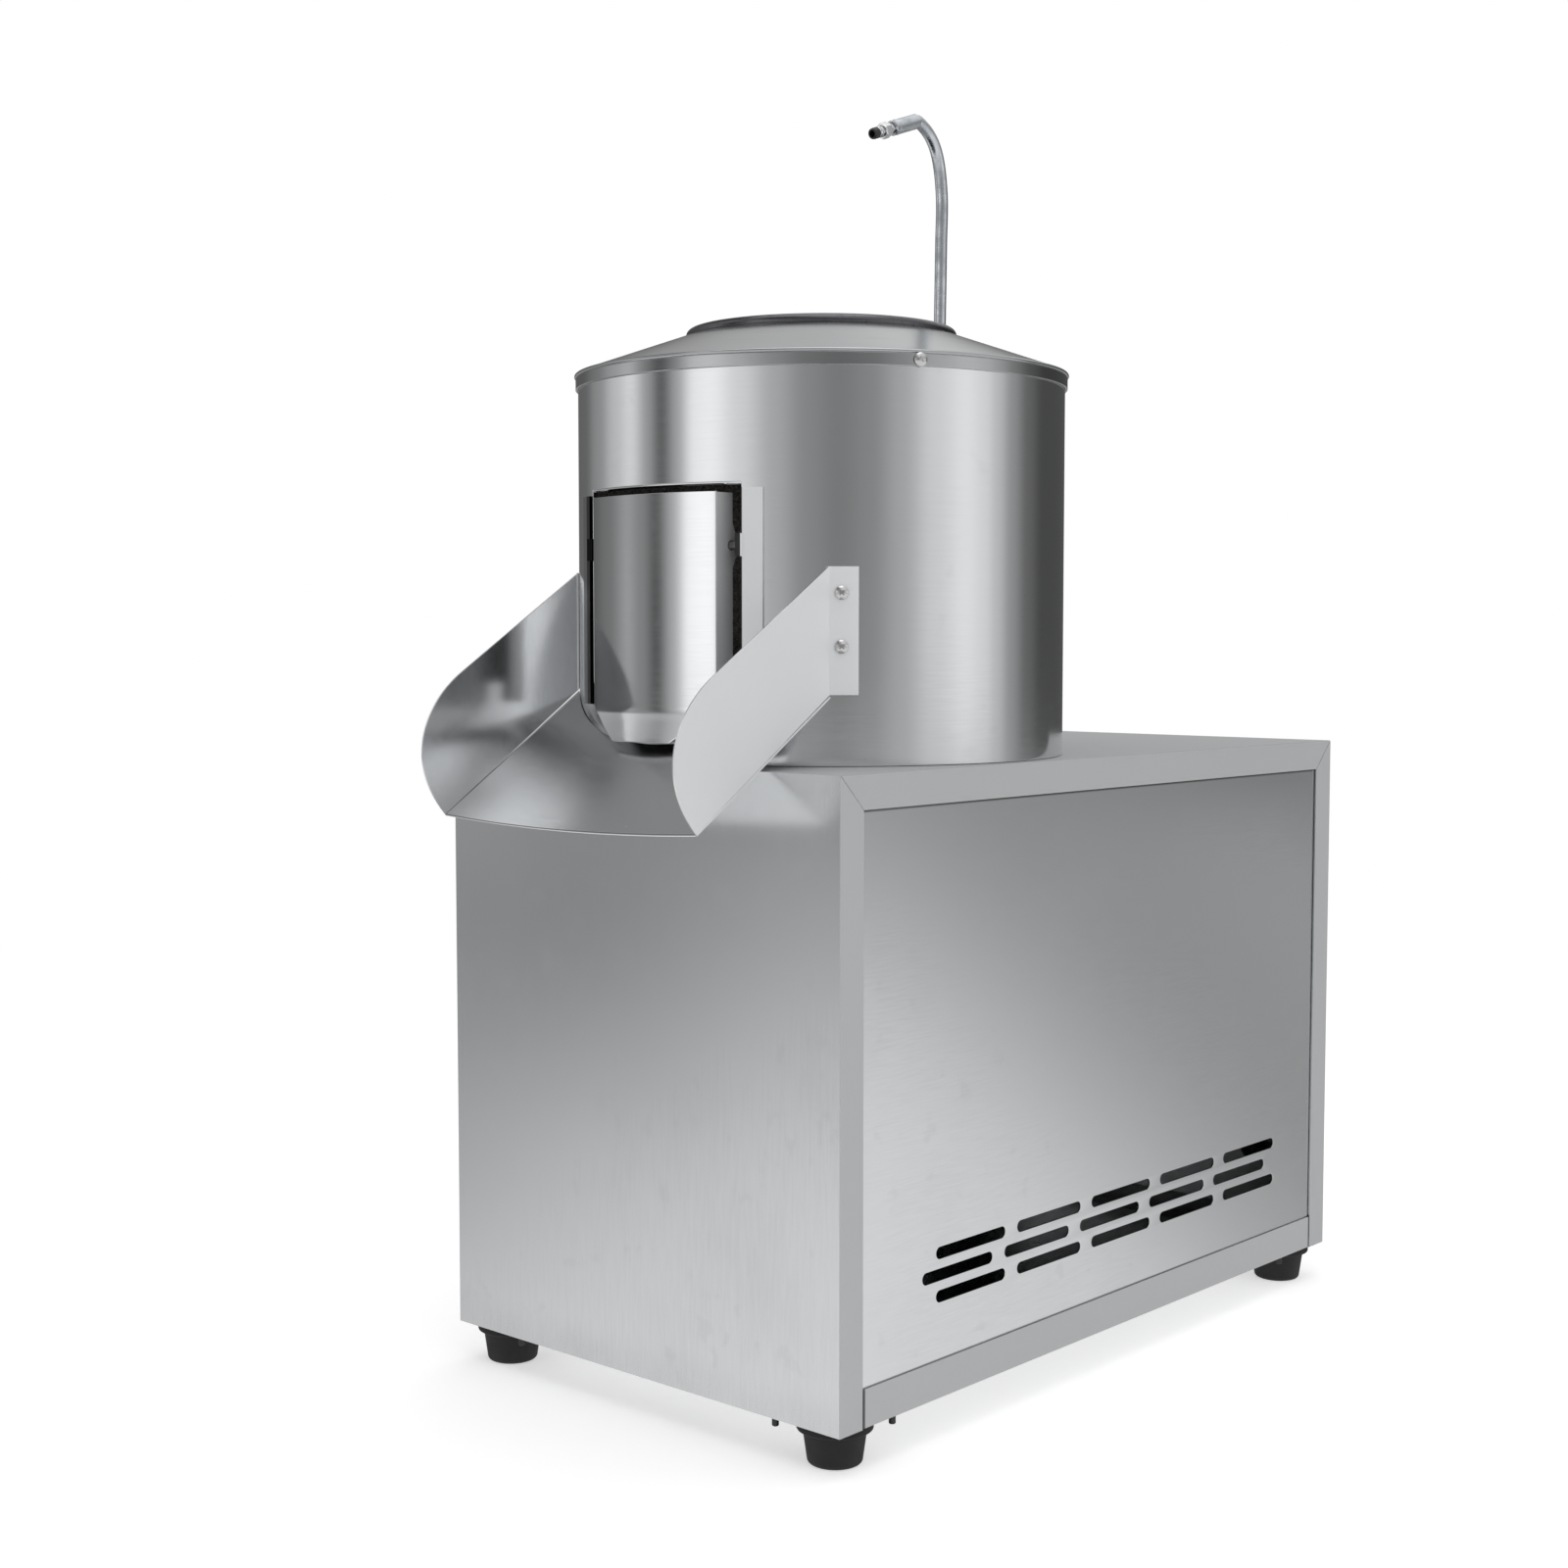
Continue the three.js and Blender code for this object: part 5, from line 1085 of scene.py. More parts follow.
def windowed_wall(name, radius, levels, margin, thickness, bevel):
    """A rolled wall, open at the front between its two middle levels."""
    drum = bpy.context.scene.peeler_drum
    edge = math.asin((drum.window_half + margin) / radius)
    across = 20
    rest = drum.segments - across
    angles = [edge * (2 * i / across - 1) for i in range(across + 1)]
    angles += [edge + (2 * math.pi - 2 * edge) * i / rest for i in range(1, rest + 1)]

    def wall(i, j):
        return round_drum(radius, angles[i], levels[j])

    return sheet_piece(name, wall, drum.segments, 3, thickness, bevel,
                       skip=lambda i, j: j == 1 and i < across)


def make_drum():
    """The rolled shell with its window, the window's rolled-in upper edge and the rear weld."""
    drum = bpy.context.scene.peeler_drum
    bottom = low("drum_shell").z
    window_top = CABINET_TOP + drum.window_top
    edge = math.asin(drum.window_half / DRUM_RADIUS)
    levels = [bottom, CABINET_TOP + drum.window_bottom, window_top, DRUM_TOP]
    shell = windowed_wall("drum", DRUM_RADIUS, levels, 0, drum.sheet, 0.0004)
    inset, roll_depth, roll_height, roll_rows = 0.0001, 0.0022, 0.002, 4

    def roll_in(i, j):
        turn = math.pi / 2 * (1 - j / roll_rows)
        return round_drum(DRUM_RADIUS - inset - roll_depth * (1 - math.cos(turn)),
                          edge * (i / 10 - 1), window_top - inset - roll_height * math.sin(turn))

    hem = sheet_piece("window_hem", roll_in, 20, roll_rows, 0.0008)
    weld_rows, weld_half_turn, weld_sunk = 90, 0.012, 0.0002
    weld_height, ripple = 0.00045, 0.00012

    def weld(i, j):
        aside = (i - 4) / 4
        swell = weld_height + ripple * math.sin(j * 1.9) * math.sin(j * 0.7)
        return round_drum(DRUM_RADIUS - weld_sunk + swell * math.cos(aside * math.pi / 2),
                          math.pi + aside * weld_half_turn,
                          bottom + (DRUM_TOP - bottom) * j / weld_rows)

    whole = united("drum", [shell, hem, grid_piece("seam", weld, 8, weld_rows)])
    put(whole, sheet_steel("steel_drum", 0.13, DRUM_GRAIN), "drum_steel", ["drum_shell"])
    smooth(whole.data)


def make_liner():
    """The abrasive sleeve, open at the window, and the pan under the disc."""
    drum = bpy.context.scene.peeler_drum
    least, most = low("drum_liner"), high("drum_liner")
    thickness = 0.004
    levels = [least.z, CABINET_TOP + drum.window_bottom - thickness,
              CABINET_TOP + drum.window_top + thickness, most.z]
    liner = windowed_wall("liner", (most.x - least.x) / 2, levels, thickness, thickness, 0.0008)
    put(liner, bonded_grit("grit_liner"), "abrasive_grit", ["drum_liner"])
    dress("drum_pan", 0.0005, sheet_steel("steel_pan", 0.35), "pan_steel")


def make_cover():
    """The cover: a skirt, a bead, a shallow cone and the rolled feed mouth."""
    drum = bpy.context.scene.peeler_drum
    gap, edge, wall = 0.0003, 0.0003, 0.0012
    inner = DRUM_RADIUS + gap
    outer = inner + drum.sheet
    rim = DRUM_TOP + gap
    cone = rim + drum.bead
    skirt = low("drum_cover").z
    roll_z = high("drum_cover").z - drum.roll_radius
    half = drum.bead / 2
    meeting = math.radians(-18)
    seam = drum.mouth_radius + drum.roll_radius * math.cos(meeting)
    seam_z = roll_z + drum.roll_radius * math.sin(meeting)
    profile = [
        (inner, skirt), (outer - edge, skirt), (outer, skirt + edge),
        (outer, rim - 0.0006), *arc(outer - 0.0004, rim + half, half, -80, 80, 8),
        (outer - wall, cone + 0.0001), (seam, seam_z), (seam - wall, seam_z - 0.0014),
        (inner - drum.sheet, cone - drum.sheet), (inner - drum.sheet, rim), (inner, rim),
    ]
    # Painted shade: the skirt and bead are painted darker than the cone.
    spun = sheet_steel("steel_cover", 0.16, DRUM_GRAIN, 0.78,
                       painted_shade=lambda place: place.part("Z").below(cone, cone + 0.0006) * 0.3)
    put(lathe("cover", profile, drum.segments, DRUM_Y), spun, "cover_steel", ["drum_cover"])
    roll = [*arc(drum.mouth_radius, roll_z, drum.roll_radius, -17, 300, 30),
            *arc(drum.mouth_radius, roll_z, drum.roll_radius - wall, 300, -17, 20)]
    # Painted shade: the roll's steel is painted dark grey, darker than the cover's sheet.
    put(lathe("mouth_roll", roll, drum.segments, DRUM_Y),
        turned_steel("steel_mouth", (0.12, 0.12, 0.13), 0.22), "cover_steel", ["drum_cover"])


# Door

def make_door():
    """The curved flap with its pull lip, and the side returns on the rod."""
    door = bpy.context.scene.peeler_door
    drum = bpy.context.scene.peeler_drum
    top = high("discharge_door").z
    fold = low("discharge_door").z + door.lip_drop
    radius = DRUM_RADIUS + door.stand_off
    bend, bend_step = fold + 0.004, 0.0016
    narrowing = door.lip_top_angle - door.half_angle
    tapering = door.lip_bottom_angle - door.lip_top_angle
    rows = [(top, 0, door.half_angle), (bend, 0, door.half_angle)]
    rows += [(bend - bend_step * i, door.lip_flare * 0.012 * i * i,
              door.half_angle + narrowing * i / 3) for i in range(1, 4)]
    rows += [(fold - door.lip_drop * i / 6, door.lip_flare * (0.1 + 0.9 * i / 6),
              door.lip_top_angle + tapering * i / 6) for i in range(1, 7)]
    columns = 48

    def face(i, j):
        z, flare, half = rows[j]
        return round_drum(radius + flare, half * (2 * i / columns - 1), z)

    flap = sheet_piece("door_face", face, columns, len(rows) - 1, drum.sheet, 0.0004, 1)
    reach = radius * math.sin(door.half_angle)
    front = DRUM_Y - (radius - drum.sheet / 2) * math.cos(door.half_angle)
    inner = front + door.return_depth
    foot_gap, head_gap = 0.004, 0.0006
    foot = CABINET_TOP + drum.window_bottom + foot_gap
    head = top - head_gap
    ear_half, ear_radius, hole_radius = 0.015, 0.0075, 0.0033

    def round_hinge(radius, turn):
        return HINGE.y + radius * math.cos(turn), HINGE.z + radius * math.sin(turn)

    border = [(front, foot), (inner, foot), (inner, HINGE.z - ear_half),
              *(round_hinge(ear_radius, math.radians(45) * (i / 8 - 1)) for i in range(17)),
              (inner, HINGE.z + ear_half), (inner, head), (front, head)]
    hole = [round_hinge(hole_radius, math.pi * i / 12) for i in range(24)]
    returns = [outline_piece("door_return", [border, hole], drum.sheet,
                             side * (reach - drum.sheet / 2), 0.0002) for side in (-1, 1)]
    put(united("door", [flap, *returns]), door_steel(reach), "door_steel", ["discharge_door"],
        "door")


def make_strips():
    """The strips beside the window, the right one painted pale and the left one dark as painted
    light and shade, both painted black on their ears and in the gap as painted shade, and the rod.
    """
    edge = bpy.context.scene.peeler_drum.window_half

    def within(reach):
        return lambda place: place.part("X").math("ABSOLUTE").below(reach - EDGE_BLUR, reach)

    # Painted light and shade: the right strip is painted pale, the left dark, and both black next
    # to the gap.
    right = sheet_steel("steel_strip_right", satin_side=0.01, satin_tint=1.3,
                        painted_shade=within(edge + 0.0022), painted_shade_tint=0.03)
    left = sheet_steel("steel_strip_left", 0.3, tint=0.4, painted_shade=within(edge + 0.0075),
                       painted_shade_tint=0.03)
    dress("guide_strip_right", 0.0004, right, "strip_steel")
    dress("guide_strip_left", 0.0004, left, "strip_steel")
    reach = high("hinge_rod").x
    radius, chamfer = 0.003, 0.0003
    profile = [(0, -reach), (radius - chamfer, -reach), (radius, -reach + chamfer),
               (radius, reach - chamfer), (radius - chamfer, reach), (0, reach)]
    rod = lay_along(lathe("rod", profile), (0, HINGE.y, HINGE.z), (1, 0, 0))
    put(rod, turned_steel("steel_rod", (0.25, 0.25, 0.25)), "rod_steel", ["hinge_rod"])


# Chute

def chute_slope(chute):
    """Y and Z of the chute's front corners and of the corners where it meets the drum."""
    return (DRUM_Y - chute.tip_reach, CABINET_TOP + chute.tip_height,
            DRUM_Y - math.sqrt(DRUM_RADIUS ** 2 - chute.half_width ** 2),
            CABINET_TOP + chute.tab_bottom)


def make_chute():
    """Floor, two side wings and the tabs that are screwed to the drum."""
    chute = bpy.context.scene.peeler_chute
    half = chute.half_width
    tip_y, tip_z, fold_y, high_z = chute_slope(chute)
    columns, rows, edge_bevel = 40, 8, 0.0003
    floor_gap, tab_gap, wing_gap = 0.0006, 0.0003, 0.0004

    def floor(i, j):
        share = 2 * i / columns - 1
        x = share * (half - wing_gap)
        bow = 1 - share ** 2
        back = DRUM_Y - math.sqrt((DRUM_RADIUS + floor_gap) ** 2 - x ** 2)
        y = back + (tip_y - chute.front_bow * bow - back) * j / rows
        drop = (fold_y - y) / (fold_y - tip_y)
        return (x, y, high_z + (tip_z - high_z) * drop - chute.floor_bow * bow)

    parts = [sheet_piece("chute_floor", floor, columns, rows, chute.sheet, edge_bevel, 1)]
    inner = half - chute.sheet
    back_y = DRUM_Y - math.sqrt((DRUM_RADIUS + tab_gap) ** 2 - inner ** 2)
    top_z = CABINET_TOP + chute.tab_top
    tab_radius = DRUM_RADIUS + tab_gap + chute.sheet
    start = math.asin(inner / tab_radius)
    wing = [(back_y, high_z), (back_y, top_z), *wing_nose(chute, back_y, top_z)]
    for side in (-1, 1):
        parts.append(outline_piece("chute_wing", [wing], chute.sheet,
                                   side * (half - chute.sheet / 2), 0.0002))

        def tab(i, j, side=side):
            turn = start + (chute.tab_end - start) * i / 8
            return round_drum(tab_radius, side * turn, top_z if j else high_z)

        parts.append(sheet_piece("chute_tab", tab, 8, 1, chute.sheet, edge_bevel, -side))
    put(united("chute", parts), chute_steel(), "chute_steel", ["chute"])


def wing_nose(chute, back_y, top_z, steps=28):
    """The curve of a wing's nose, from its shoulder round to the tip."""
    tip = Vector(chute_slope(chute)[:2])
    shoulder = Vector((DRUM_Y - chute.shoulder_reach, CABINET_TOP + chute.shoulder_height))
    nose = DRUM_Y - chute.nose_reach
    slope = (top_z - shoulder.y) / (back_y - shoulder.x)
    bend_y = shoulder.x + (nose - shoulder.x) * chute.nose_start
    handles = (shoulder, Vector((bend_y, shoulder.y + slope * (bend_y - shoulder.x))),
               Vector((nose, tip.y + (shoulder.y - tip.y) * chute.nose_end)), tip)
    for i in range(steps + 1):
        share = i / steps
        rest = 1 - share
        weights = (rest ** 3, 3 * rest ** 2 * share, 3 * rest * share ** 2, share ** 3)
        yield tuple(sum((handle * weight for handle, weight in zip(handles, weights)),
                        Vector((0, 0))))


# Screws

def screw_template():
    """A round head with a cross recess, on a short shank."""
    head, shank, edge = 0.0046, 0.002, 0.0005
    dome = [(head * 0.93 * math.cos(turn), edge + 0.0019 * math.sin(turn))
            for turn in map(math.radians, (35, 50, 65, 78))]
    profile = [(0, -shank), (shank, -shank), (shank, 0), (head, 0),
               *arc(head - edge, 0.0006, edge, 0, 50, 3), *dome, (0, 0.0024)]
    screw = lathe("screw_template", profile)
    recess = Matrix.Diagonal((0.0042, 0.0009, 0.0018, 1))
    cutters = [block("recess", Matrix.Translation((0, 0, 0.0023))
                     @ Matrix.Rotation(turn, 4, "Z") @ recess) for turn in (0, math.pi / 2)]
    for cutter in cutters:
        cut = screw.modifiers.new("Recess", "BOOLEAN")
        cut.operation = "DIFFERENCE"
        cut.object = cutter
        cut.solver = "EXACT"
    bake_modifiers(screw)
    for cutter in cutters:
        bpy.data.objects.remove(cutter)
    return screw


def make_screws():
    """Screws round the drum, each where its solid is."""
    nodes = [node for node in frame["nodes"] if "_screw_" in node]
    seat = DRUM_RADIUS + 0.0021
    places = []
    for node in nodes:
        spot = middle(node)
        outward = Vector((spot.x, spot.y - DRUM_Y, 0)).normalized()
        places.append((Vector((0, DRUM_Y, spot.z)) + outward * seat, tuple(outward)))
    metal = turned_steel("steel_screws", (0.6, 0.6, 0.6), 0.2)
    put(scattered("screws", screw_template(), places, metal), metal, "screw_steel", nodes)


# Disc and drive

def make_disc():
    """The cast disc: three raised waves with grit, a hub with a skirt, and vanes underneath."""
    disc = bpy.context.scene.peeler_disc
    hub = disc.top - disc.thickness
    skirt = disc.top - disc.hub_depth
    web = disc.top - 0.009
    edge, vane_gap, vane_width = 0.0015, 0.0003, 0.004
    flat = [disc.bore + (disc.radius - edge - disc.bore) * i / 60 for i in range(61)]
    profile = [(radius, disc.top) for radius in flat]
    profile += [*arc(disc.radius - edge, disc.top - edge, edge, 75, 0, 4), (disc.radius, hub),
                (disc.hub_radius, hub), (disc.hub_radius, skirt), (disc.skirt_radius, skirt),
                (disc.skirt_radius, web), (disc.bore, web)]
    tree = Growth("disc_growth", {"Waves": ("Float", float(disc.waves)),
                                  "Swell": ("Float", disc.wave_height),
                                  "Radius": ("Float", disc.radius)})
    place = tree.node("GeometryNodeInputPosition", {}, {})
    x = place.part("X")
    y = place.part("Y") - DRUM_Y
    radius = (x * x + y * y) ** 0.5
    angle = x.math("ARCTAN2", y * -1)
    wave = ((angle * tree.given("Waves")).math("COSINE") + 1) * 0.5
    share = radius / tree.given("Radius")
    rise = share.above(0.3, 0.62) * share.below(0.8, 0.985)
    on_top = place.part("Z").above(disc.top - 0.002, disc.top - 0.0005)
    offset = tree.node("ShaderNodeCombineXYZ", {},
                       {"Z": wave * wave * rise * tree.given("Swell") * on_top})
    moved = tree.node("GeometryNodeSetPosition", {},
                      {"Geometry": tree.given("Geometry"), "Offset": offset})
    grit = bonded_grit("grit_disc", 520.0, 0.0009)
    plate = tree.grow(lathe("disc", profile, 240, DRUM_Y), moved, grit)
    put(plate, grit, "disc_aluminium", ["peeling_disc"], "disc_drive")
    length = disc.vane_outer - disc.vane_inner
    depth = disc.vane_depth - vane_gap
    vanes = []
    for side in (-1, 1):
        centre = Vector((side * (disc.vane_inner + disc.vane_outer) / 2, DRUM_Y,
                         (hub - disc.vane_depth + hub - vane_gap) / 2))
        bar = block("vane", Matrix.Translation(centre)
                    @ Matrix.Diagonal((length, vane_width, depth, 1)))
        vanes.append(bake_modifiers(add_bevel(bar, 0.001, 3)))
    put(united("disc_vanes", vanes), cast_metal("aluminium_casting", (0.4, 0.41, 0.42), 0.45),
        "disc_aluminium", ["peeling_disc"], "disc_drive")


def refinish(material, *nodes):
    """Gives pieces that keep their solids a better finish."""
    for node in nodes:
        for slot in frame["nodes"][node].material_slots:
            slot.material = material


def make_drive():
    refinish(turned_steel("steel_turned"), "main_shaft", "motor_rotor", "bearing_upper",
             "bearing_lower")
    refinish(moulded_rubber("rubber_belt", 0.0), "shaft_seal", "v_belt")
    refinish(grey_iron(), "motor_pulley")
    refinish(dark_plastic(), "motor_fan")
    dress("driven_pulley", 0.0008, grey_iron(), "housing_iron", "disc_drive")
    dress("bearing_housing", 0.0012, grey_iron(), "housing_iron")
    dress("disc_cap_nut", 0.0008, turned_steel("steel_cap_nut"), "cap_nut_steel", "disc_drive")


def make_motor():
    dress("motor_bracket", 0.0008, grey_primer(), "frame_steel")
    for node in ("motor_end_bell", "motor_body", "motor_fan_cover"):
        dress(node, 0.001, motor_enamel(), "motor_paint")
    for node in ("terminal_box", "motor_capacitor"):
        dress(node, 0.0012, dark_plastic(), "black_plastic")


# Shares of the pipe's reach and rise at the points that its bend passes through
PIPE_SHARES = (
    (0, 0), (-0.021, 0.53), (-0.028, 0.724), (0.025, 0.864), (0.096, 0.93), (0.2, 0.975),
)
# Profiles along the spout, as radii and distances from its start
SLEEVE = (
    (0.0032, 0), (0.0051, 0), (0.0056, 0.0005), (0.0056, 0.0245),
    *arc(0.0052, 0.025, 0.0006, -60, 60, 5), (0.0056, 0.0255), (0.0056, 0.0295), (0.0051, 0.03),
    (0.004, 0.03), (0.004, 0.025), (0.0032, 0.025),
)
NOZZLE_STEM = (
    (0.0026, 0.0253), (0.0037, 0.0253), (0.0037, 0.0445), (0.0041, 0.0449), (0.0041, 0.0463),
    (0.0036, 0.0468), (0.0036, 0.0481), (0.0026, 0.0481),
)
NOZZLE = (
    (0.0026, 0.0481), (0.0037, 0.0481), (0.0039, 0.0484), (0.0042, 0.0487), (0.0039, 0.0512),
    (0.0037, 0.0513), (0.0042, 0.0516), (0.0039, 0.0536), (0.0034, 0.054), (0.0026, 0.054),
)


def make_pipe():
    """The bent water pipe, its collar and sleeve, and the hose end with its nut."""
    pipe = bpy.context.scene.peeler_pipe
    foot = Vector((0, DRUM_Y + pipe.setback, pipe.foot_height))
    start = foot + Vector((0, -pipe.spout_start * pipe.reach, pipe.rise))
    along = Vector((0, -math.cos(pipe.droop), -math.sin(pipe.droop)))
    bend = [foot + Vector((0, -forward * pipe.reach, up * pipe.rise))
            for forward, up in PIPE_SHARES]
    route = [foot - Vector((0, 0, pipe.tail)), *bend, start - along * 0.0018,
             start - along * 0.0006]
    plating = pipe_metal("pipe_plating")
    bright = turned_steel("steel_nut", (0.82, 0.83, 0.84), 0.2)
    water_pipe = tube("water_pipe", route, pipe.radius, pipe.bore, plating)
    put(water_pipe, plating, "pipe_metal", ["water_pipe"])
    for name, profile, sides, material, slot, node in (
            ("sleeve", SLEEVE, 40, plating, "pipe_metal", "pipe_sleeve"),
            ("nozzle_stem", NOZZLE_STEM, 36, bright, "fitting_metal", "hose_nozzle"),
            ("nozzle", NOZZLE, 36, dark_plastic(), "fitting_metal", "hose_nozzle")):
        put(lay_along(lathe(name, profile, sides), start, along), material, slot, [node])
    dress("hose_nut", 0.0005, bright, "fitting_metal", segments=3)
    dress("pipe_collar", 0.0006, turned_steel("steel_collar"), "cover_steel")


def make_drain():
    """The drain's sloping pipe with softened ends; the elbow keeps its solid."""
    refinish(turned_steel("steel_drain"), "drain_elbow")
    dress("drain_pipe", 0.0005, turned_steel("steel_drain_pipe"), "drain_steel")


def make_switch():
    dress("switch_box", 0.0012, dark_plastic(), "switch_plastic", segments=3)
    dress("start_button", 0.0008, moulded_plastic("plastic_green", (0.015, 0.24, 0.06)),
          "green_plastic", "start_key", 3)
    dress("stop_button", 0.0008, moulded_plastic("plastic_red", (0.5, 0.02, 0.015)),
          "red_plastic", "stop_key", 3)
    dress("cable_gland", 0.0008, dark_plastic(), "black_plastic", segments=3)


# Stage

# Brightness of the studio's walls round the compass, with 0.5 behind the camera
STUDIO_WALLS = (
    (0.0, 0.1), (0.091, 0.15), (0.147, 0.34), (0.19, 0.66), (0.224, 0.92), (0.254, 0.42),
    (0.279, 0.1), (0.306, 0.48), (0.33, 1.12), (0.353, 1.18), (0.396, 0.84), (0.438, 0.52),
    (0.479, 0.32), (0.519, 0.25), (0.56, 0.31), (0.601, 0.5), (0.644, 0.82), (0.692, 1.02),
    (0.723, 0.88), (0.744, 0.66), (0.772, 0.36), (0.806, 0.16), (0.845, 0.08), (0.9, 0.08),
    (1.0, 0.1),
)
# Brightness of the studio's ceiling from the camera's left to its right
STUDIO_CEILING = (
    (0.0, 0.6), (0.05, 0.65), (0.09, 0.75), (0.13, 0.7), (0.17, 0.3), (0.2, 0.2), (0.34, 0.26),
    (0.42, 0.5), (0.5, 0.6), (0.58, 0.9), (0.62, 1.0), (0.7, 0.9), (1.0, 0.7),
)
# Brightness of the studio's floor from far away to underfoot
STUDIO_FLOOR = (
    (0.0, 0.4), (0.09, 0.35), (0.2, 0.335), (0.26, 0.35), (0.31, 0.38), (0.37, 0.43),
    (0.42, 0.485), (0.48, 0.54), (0.54, 0.63), (0.64, 0.77), (0.75, 0.86), (0.87, 0.9),
    (1.0, 0.91),
)
# Degrees below the horizon from the first to the last of STUDIO_FLOOR's stops
FLOOR_SPAN = 18
RADIAN = 57.3
LAMP_PLACE = Vector((0.0, -0.4, 3.4))
LAMP_AIM = Vector((0.0, 0.0, 0.4))
LAMP_POWER = 30
LAMP_SIZE = 3.0


def make_stage():
    """Camera, pale floor, a soft lamp and the studio that the steel reflects."""
    scene = bpy.context.scene
    stage = scene.peeler_stage
    lens = bpy.data.cameras.new("camera")
    lens.sensor_width = 36
    lens.lens = stage.focal_pixels / PHOTO_SIZE * lens.sensor_width
    lens.clip_start = 0.01
    camera = new_object("camera", lens)
    camera.location = stage.camera_place
    camera.rotation_euler = (math.pi / 2 - stage.camera_pitch, 0, stage.camera_azimuth)
    scene.camera = camera
    scene.view_settings.view_transform = "Standard"
    half = stage.floor_size / 2
    floor = mesh_piece("floor", [(-half, -half, 0), (half, -half, 0), (half, half, 0),
                                 (-half, half, 0)], [(0, 1, 2, 3)])
    floor.data.materials.append(floor_finish())
    floor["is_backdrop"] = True
    light = bpy.data.lights.new("key_lamp", "AREA")
    light.energy = LAMP_POWER
    light.size = LAMP_SIZE
    lamp = new_object("key_lamp", light)
    lamp.location = LAMP_PLACE
    lamp.rotation_euler = (LAMP_AIM - LAMP_PLACE).to_track_quat("-Z", "Y").to_euler()
    scene.world = studio_world(stage.camera_azimuth)


def floor_finish():
    """Pale paper that shows soft shadows and stays out of the steel's reflections."""
    material = bpy.data.materials.new("paper_floor")
    material.use_nodes = True
    shader = Shader(material.node_tree)
    fibres = shader.mix(shader.noise(60.0, 3.0), grey(0.8), grey(0.82))
    paper = shader.node("ShaderNodeBsdfDiffuse", {}, {"Color": fibres})
    lift = shader.node("ShaderNodeEmission", {}, {"Color": grey(1), "Strength": 0.5})
    whole = shader.node("ShaderNodeAddShader", {}, {0: paper, 1: lift})
    white = shader.node("ShaderNodeEmission", {}, {"Color": grey(1), "Strength": 1.0})
    place = shader.place()
    away = (place.part("X") ** 2 + place.part("Y") ** 2) ** 0.5
    fading = shader.blend(away.above(1.0, 2.5), whole, white)
    direct = shader.blend(shader.ray("Is Camera Ray"), paper, fading)
    clear = shader.node("ShaderNodeBsdfTransparent", {}, {})
    surface = shader.blend(shader.ray("Is Glossy Ray"), direct, clear)
    shader.node("ShaderNodeOutputMaterial", {}, {"Surface": surface})
    return material


def studio_world(azimuth):
    """White to the camera; soft boxes, grey cards and a bright floor in the steel."""
    world = bpy.data.worlds.new("studio")
    world.use_nodes = True
    shader = Shader(world.node_tree)
    way = shader.node("ShaderNodeTexCoord", {}, {}, "Generated")
    height = way.part("Z")
    ahead = way.part("X") * math.sin(azimuth) - way.part("Y") * math.cos(azimuth)
    aside = way.part("X") * math.cos(azimuth) + way.part("Y") * math.sin(azimuth)
    turn = aside.math("ARCTAN2", ahead) / (2 * math.pi) + 0.5
    degrees = (turn - 0.5) * 360
    # Behind the machine the floor looks farther away, to the camera's right it looks nearer
    past_front = (degrees * -1 - 83).math("MAXIMUM", 0.0) * 0.55
    past_side = (degrees - 98).math("MAXIMUM", 0.0) * 0.95
    right_lift = turn.above(0.4, 0.6) * 2.7
    depth = height * -RADIAN - past_front - past_side + right_lift
    near = shader.ramp(depth / FLOOR_SPAN, STUDIO_FLOOR)
    overhead = shader.ramp(aside * 0.5 + 0.5, STUDIO_CEILING)
    around = shader.mix(height.below(-0.085, -0.05), shader.ramp(turn, STUDIO_WALLS), near)
    ceiling = shader.mix(height.above(0.1, 0.55), grey(0.34), overhead)
    room = shader.mix(height.above(0.12, 0.5), around, ceiling)
    light = shader.node("ShaderNodeBackground", {}, {"Color": room, "Strength": 1.0})
    plain = shader.node("ShaderNodeBackground", {}, {"Color": grey(1), "Strength": 1.0})
    surface = shader.blend(shader.ray("Is Camera Ray"), light, plain)
    shader.node("ShaderNodeOutputWorld", {}, {"Surface": surface})
    return world


# Operators and panel

class Maker:
    """What the operators share: each builds its pieces or stops with an error."""
    bl_options = {"REGISTER"}

    def execute(self, context):
        self.make()
        return {"FINISHED"}


class PEELER_OT_stage(Maker, bpy.types.Operator):
    """Set up the camera, floor, lamps and studio"""
    bl_idname = "peeler.stage"
    bl_label = "Stage"
    make = staticmethod(make_stage)


class PEELER_OT_cabinet(Maker, bpy.types.Operator):
    """Build the folded cabinet, its tray and the machine plate"""
    bl_idname = "peeler.cabinet"
    bl_label = "Cabinet"
    make = staticmethod(make_cabinet)


class PEELER_OT_panels(Maker, bpy.types.Operator):
    """Build the side panels with their vents"""
    bl_idname = "peeler.panels"
    bl_label = "Side panels"
    make = staticmethod(make_panels)


class PEELER_OT_feet(Maker, bpy.types.Operator):
    """Build the rubber feet and their bolts"""
    bl_idname = "peeler.feet"
    bl_label = "Feet"
    make = staticmethod(make_feet)


class PEELER_OT_drum(Maker, bpy.types.Operator):
    """Roll the drum's shell with its window and weld"""
    bl_idname = "peeler.drum"
    bl_label = "Drum"
    make = staticmethod(make_drum)


class PEELER_OT_liner(Maker, bpy.types.Operator):
    """Line the drum with abrasive and lay its pan"""
    bl_idname = "peeler.liner"
    bl_label = "Liner and pan"
    make = staticmethod(make_liner)


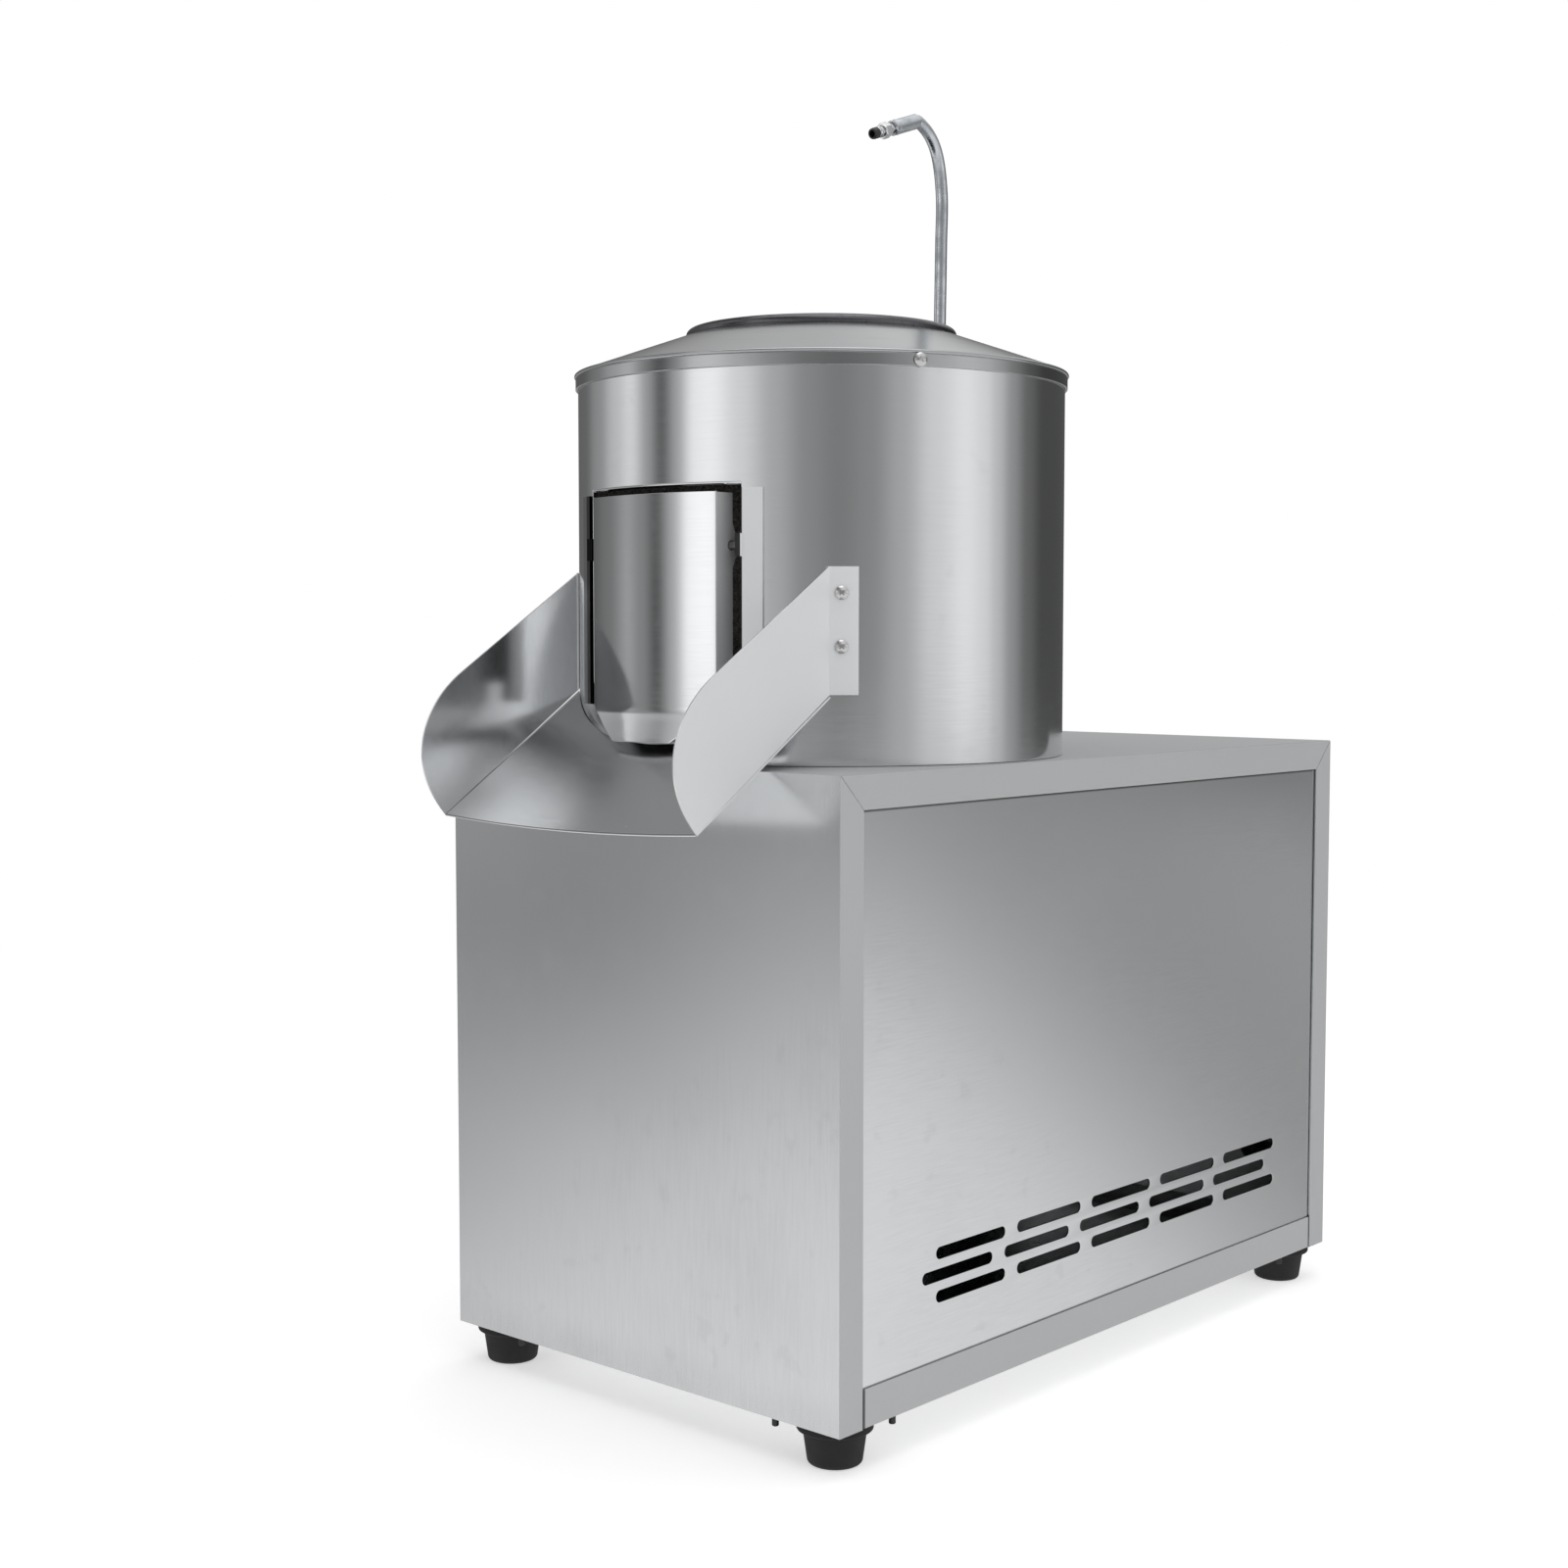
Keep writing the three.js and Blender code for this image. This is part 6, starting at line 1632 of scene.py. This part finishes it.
class PEELER_OT_cover(Maker, bpy.types.Operator):
    """Spin the cover with its rolled feed mouth"""
    bl_idname = "peeler.cover"
    bl_label = "Cover"
    make = staticmethod(make_cover)


class PEELER_OT_door(Maker, bpy.types.Operator):
    """Build the discharge door with its pull lip"""
    bl_idname = "peeler.door"
    bl_label = "Door"
    make = staticmethod(make_door)


class PEELER_OT_strips(Maker, bpy.types.Operator):
    """Build the guide strips and the hinge rod"""
    bl_idname = "peeler.strips"
    bl_label = "Guide strips"
    make = staticmethod(make_strips)


class PEELER_OT_chute(Maker, bpy.types.Operator):
    """Fold the chute with its wings and tabs"""
    bl_idname = "peeler.chute"
    bl_label = "Chute"
    make = staticmethod(make_chute)


class PEELER_OT_screws(Maker, bpy.types.Operator):
    """Set the screws of the cover and the chute"""
    bl_idname = "peeler.screws"
    bl_label = "Screws"
    make = staticmethod(make_screws)


class PEELER_OT_disc(Maker, bpy.types.Operator):
    """Cast the abrasive disc with its waves and vanes"""
    bl_idname = "peeler.disc"
    bl_label = "Disc"
    make = staticmethod(make_disc)


class PEELER_OT_drive(Maker, bpy.types.Operator):
    """Finish the shaft, bearings, pulleys and belt"""
    bl_idname = "peeler.drive"
    bl_label = "Belt drive"
    make = staticmethod(make_drive)


class PEELER_OT_motor(Maker, bpy.types.Operator):
    """Finish the motor and its bracket"""
    bl_idname = "peeler.motor"
    bl_label = "Motor"
    make = staticmethod(make_motor)


class PEELER_OT_pipe(Maker, bpy.types.Operator):
    """Bend the water pipe and fit its hose end"""
    bl_idname = "peeler.pipe"
    bl_label = "Water pipe"
    make = staticmethod(make_pipe)


class PEELER_OT_drain(Maker, bpy.types.Operator):
    """Finish the drain"""
    bl_idname = "peeler.drain"
    bl_label = "Drain"
    make = staticmethod(make_drain)


class PEELER_OT_switch(Maker, bpy.types.Operator):
    """Finish the switch box, its buttons and the cable gland"""
    bl_idname = "peeler.switch"
    bl_label = "Switch"
    make = staticmethod(make_switch)


OPERATORS = Maker.__subclasses__()


class PEELER_PT_panel(bpy.types.Panel):
    """Lists the settings and the steps"""
    bl_idname = "PEELER_PT_panel"
    bl_label = "Potato Peeler"
    bl_space_type = "VIEW_3D"
    bl_region_type = "UI"
    bl_category = "Peeler"

    def draw(self, context):
        for operator in OPERATORS:
            self.layout.operator(operator.bl_idname)
        for name, group in SETTINGS.items():
            box = self.layout.box()
            box.label(text=name.replace("peeler_", "").capitalize())
            for entry in group.__annotations__:
                box.prop(getattr(context.scene, name), entry)


CLASSES = (*SETTINGS.values(), *OPERATORS, PEELER_PT_panel)


def register():
    for item in CLASSES:
        bpy.utils.register_class(item)
    for name, group in SETTINGS.items():
        setattr(bpy.types.Scene, name, bpy.props.PointerProperty(type=group))


def unregister():
    for name in SETTINGS:
        delattr(bpy.types.Scene, name)
    for item in reversed(CLASSES):
        bpy.utils.unregister_class(item)


def plain(box):
    return [[float(part) for part in corner] for corner in box]


def main():
    register()
    for operator in OPERATORS:
        group, step = operator.bl_idname.split(".")
        getattr(getattr(bpy.ops, group), step)()
    {"cad": plain(CAD_BOX), "visual": plain(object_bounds())}


if __name__ == "__main__":
    main()
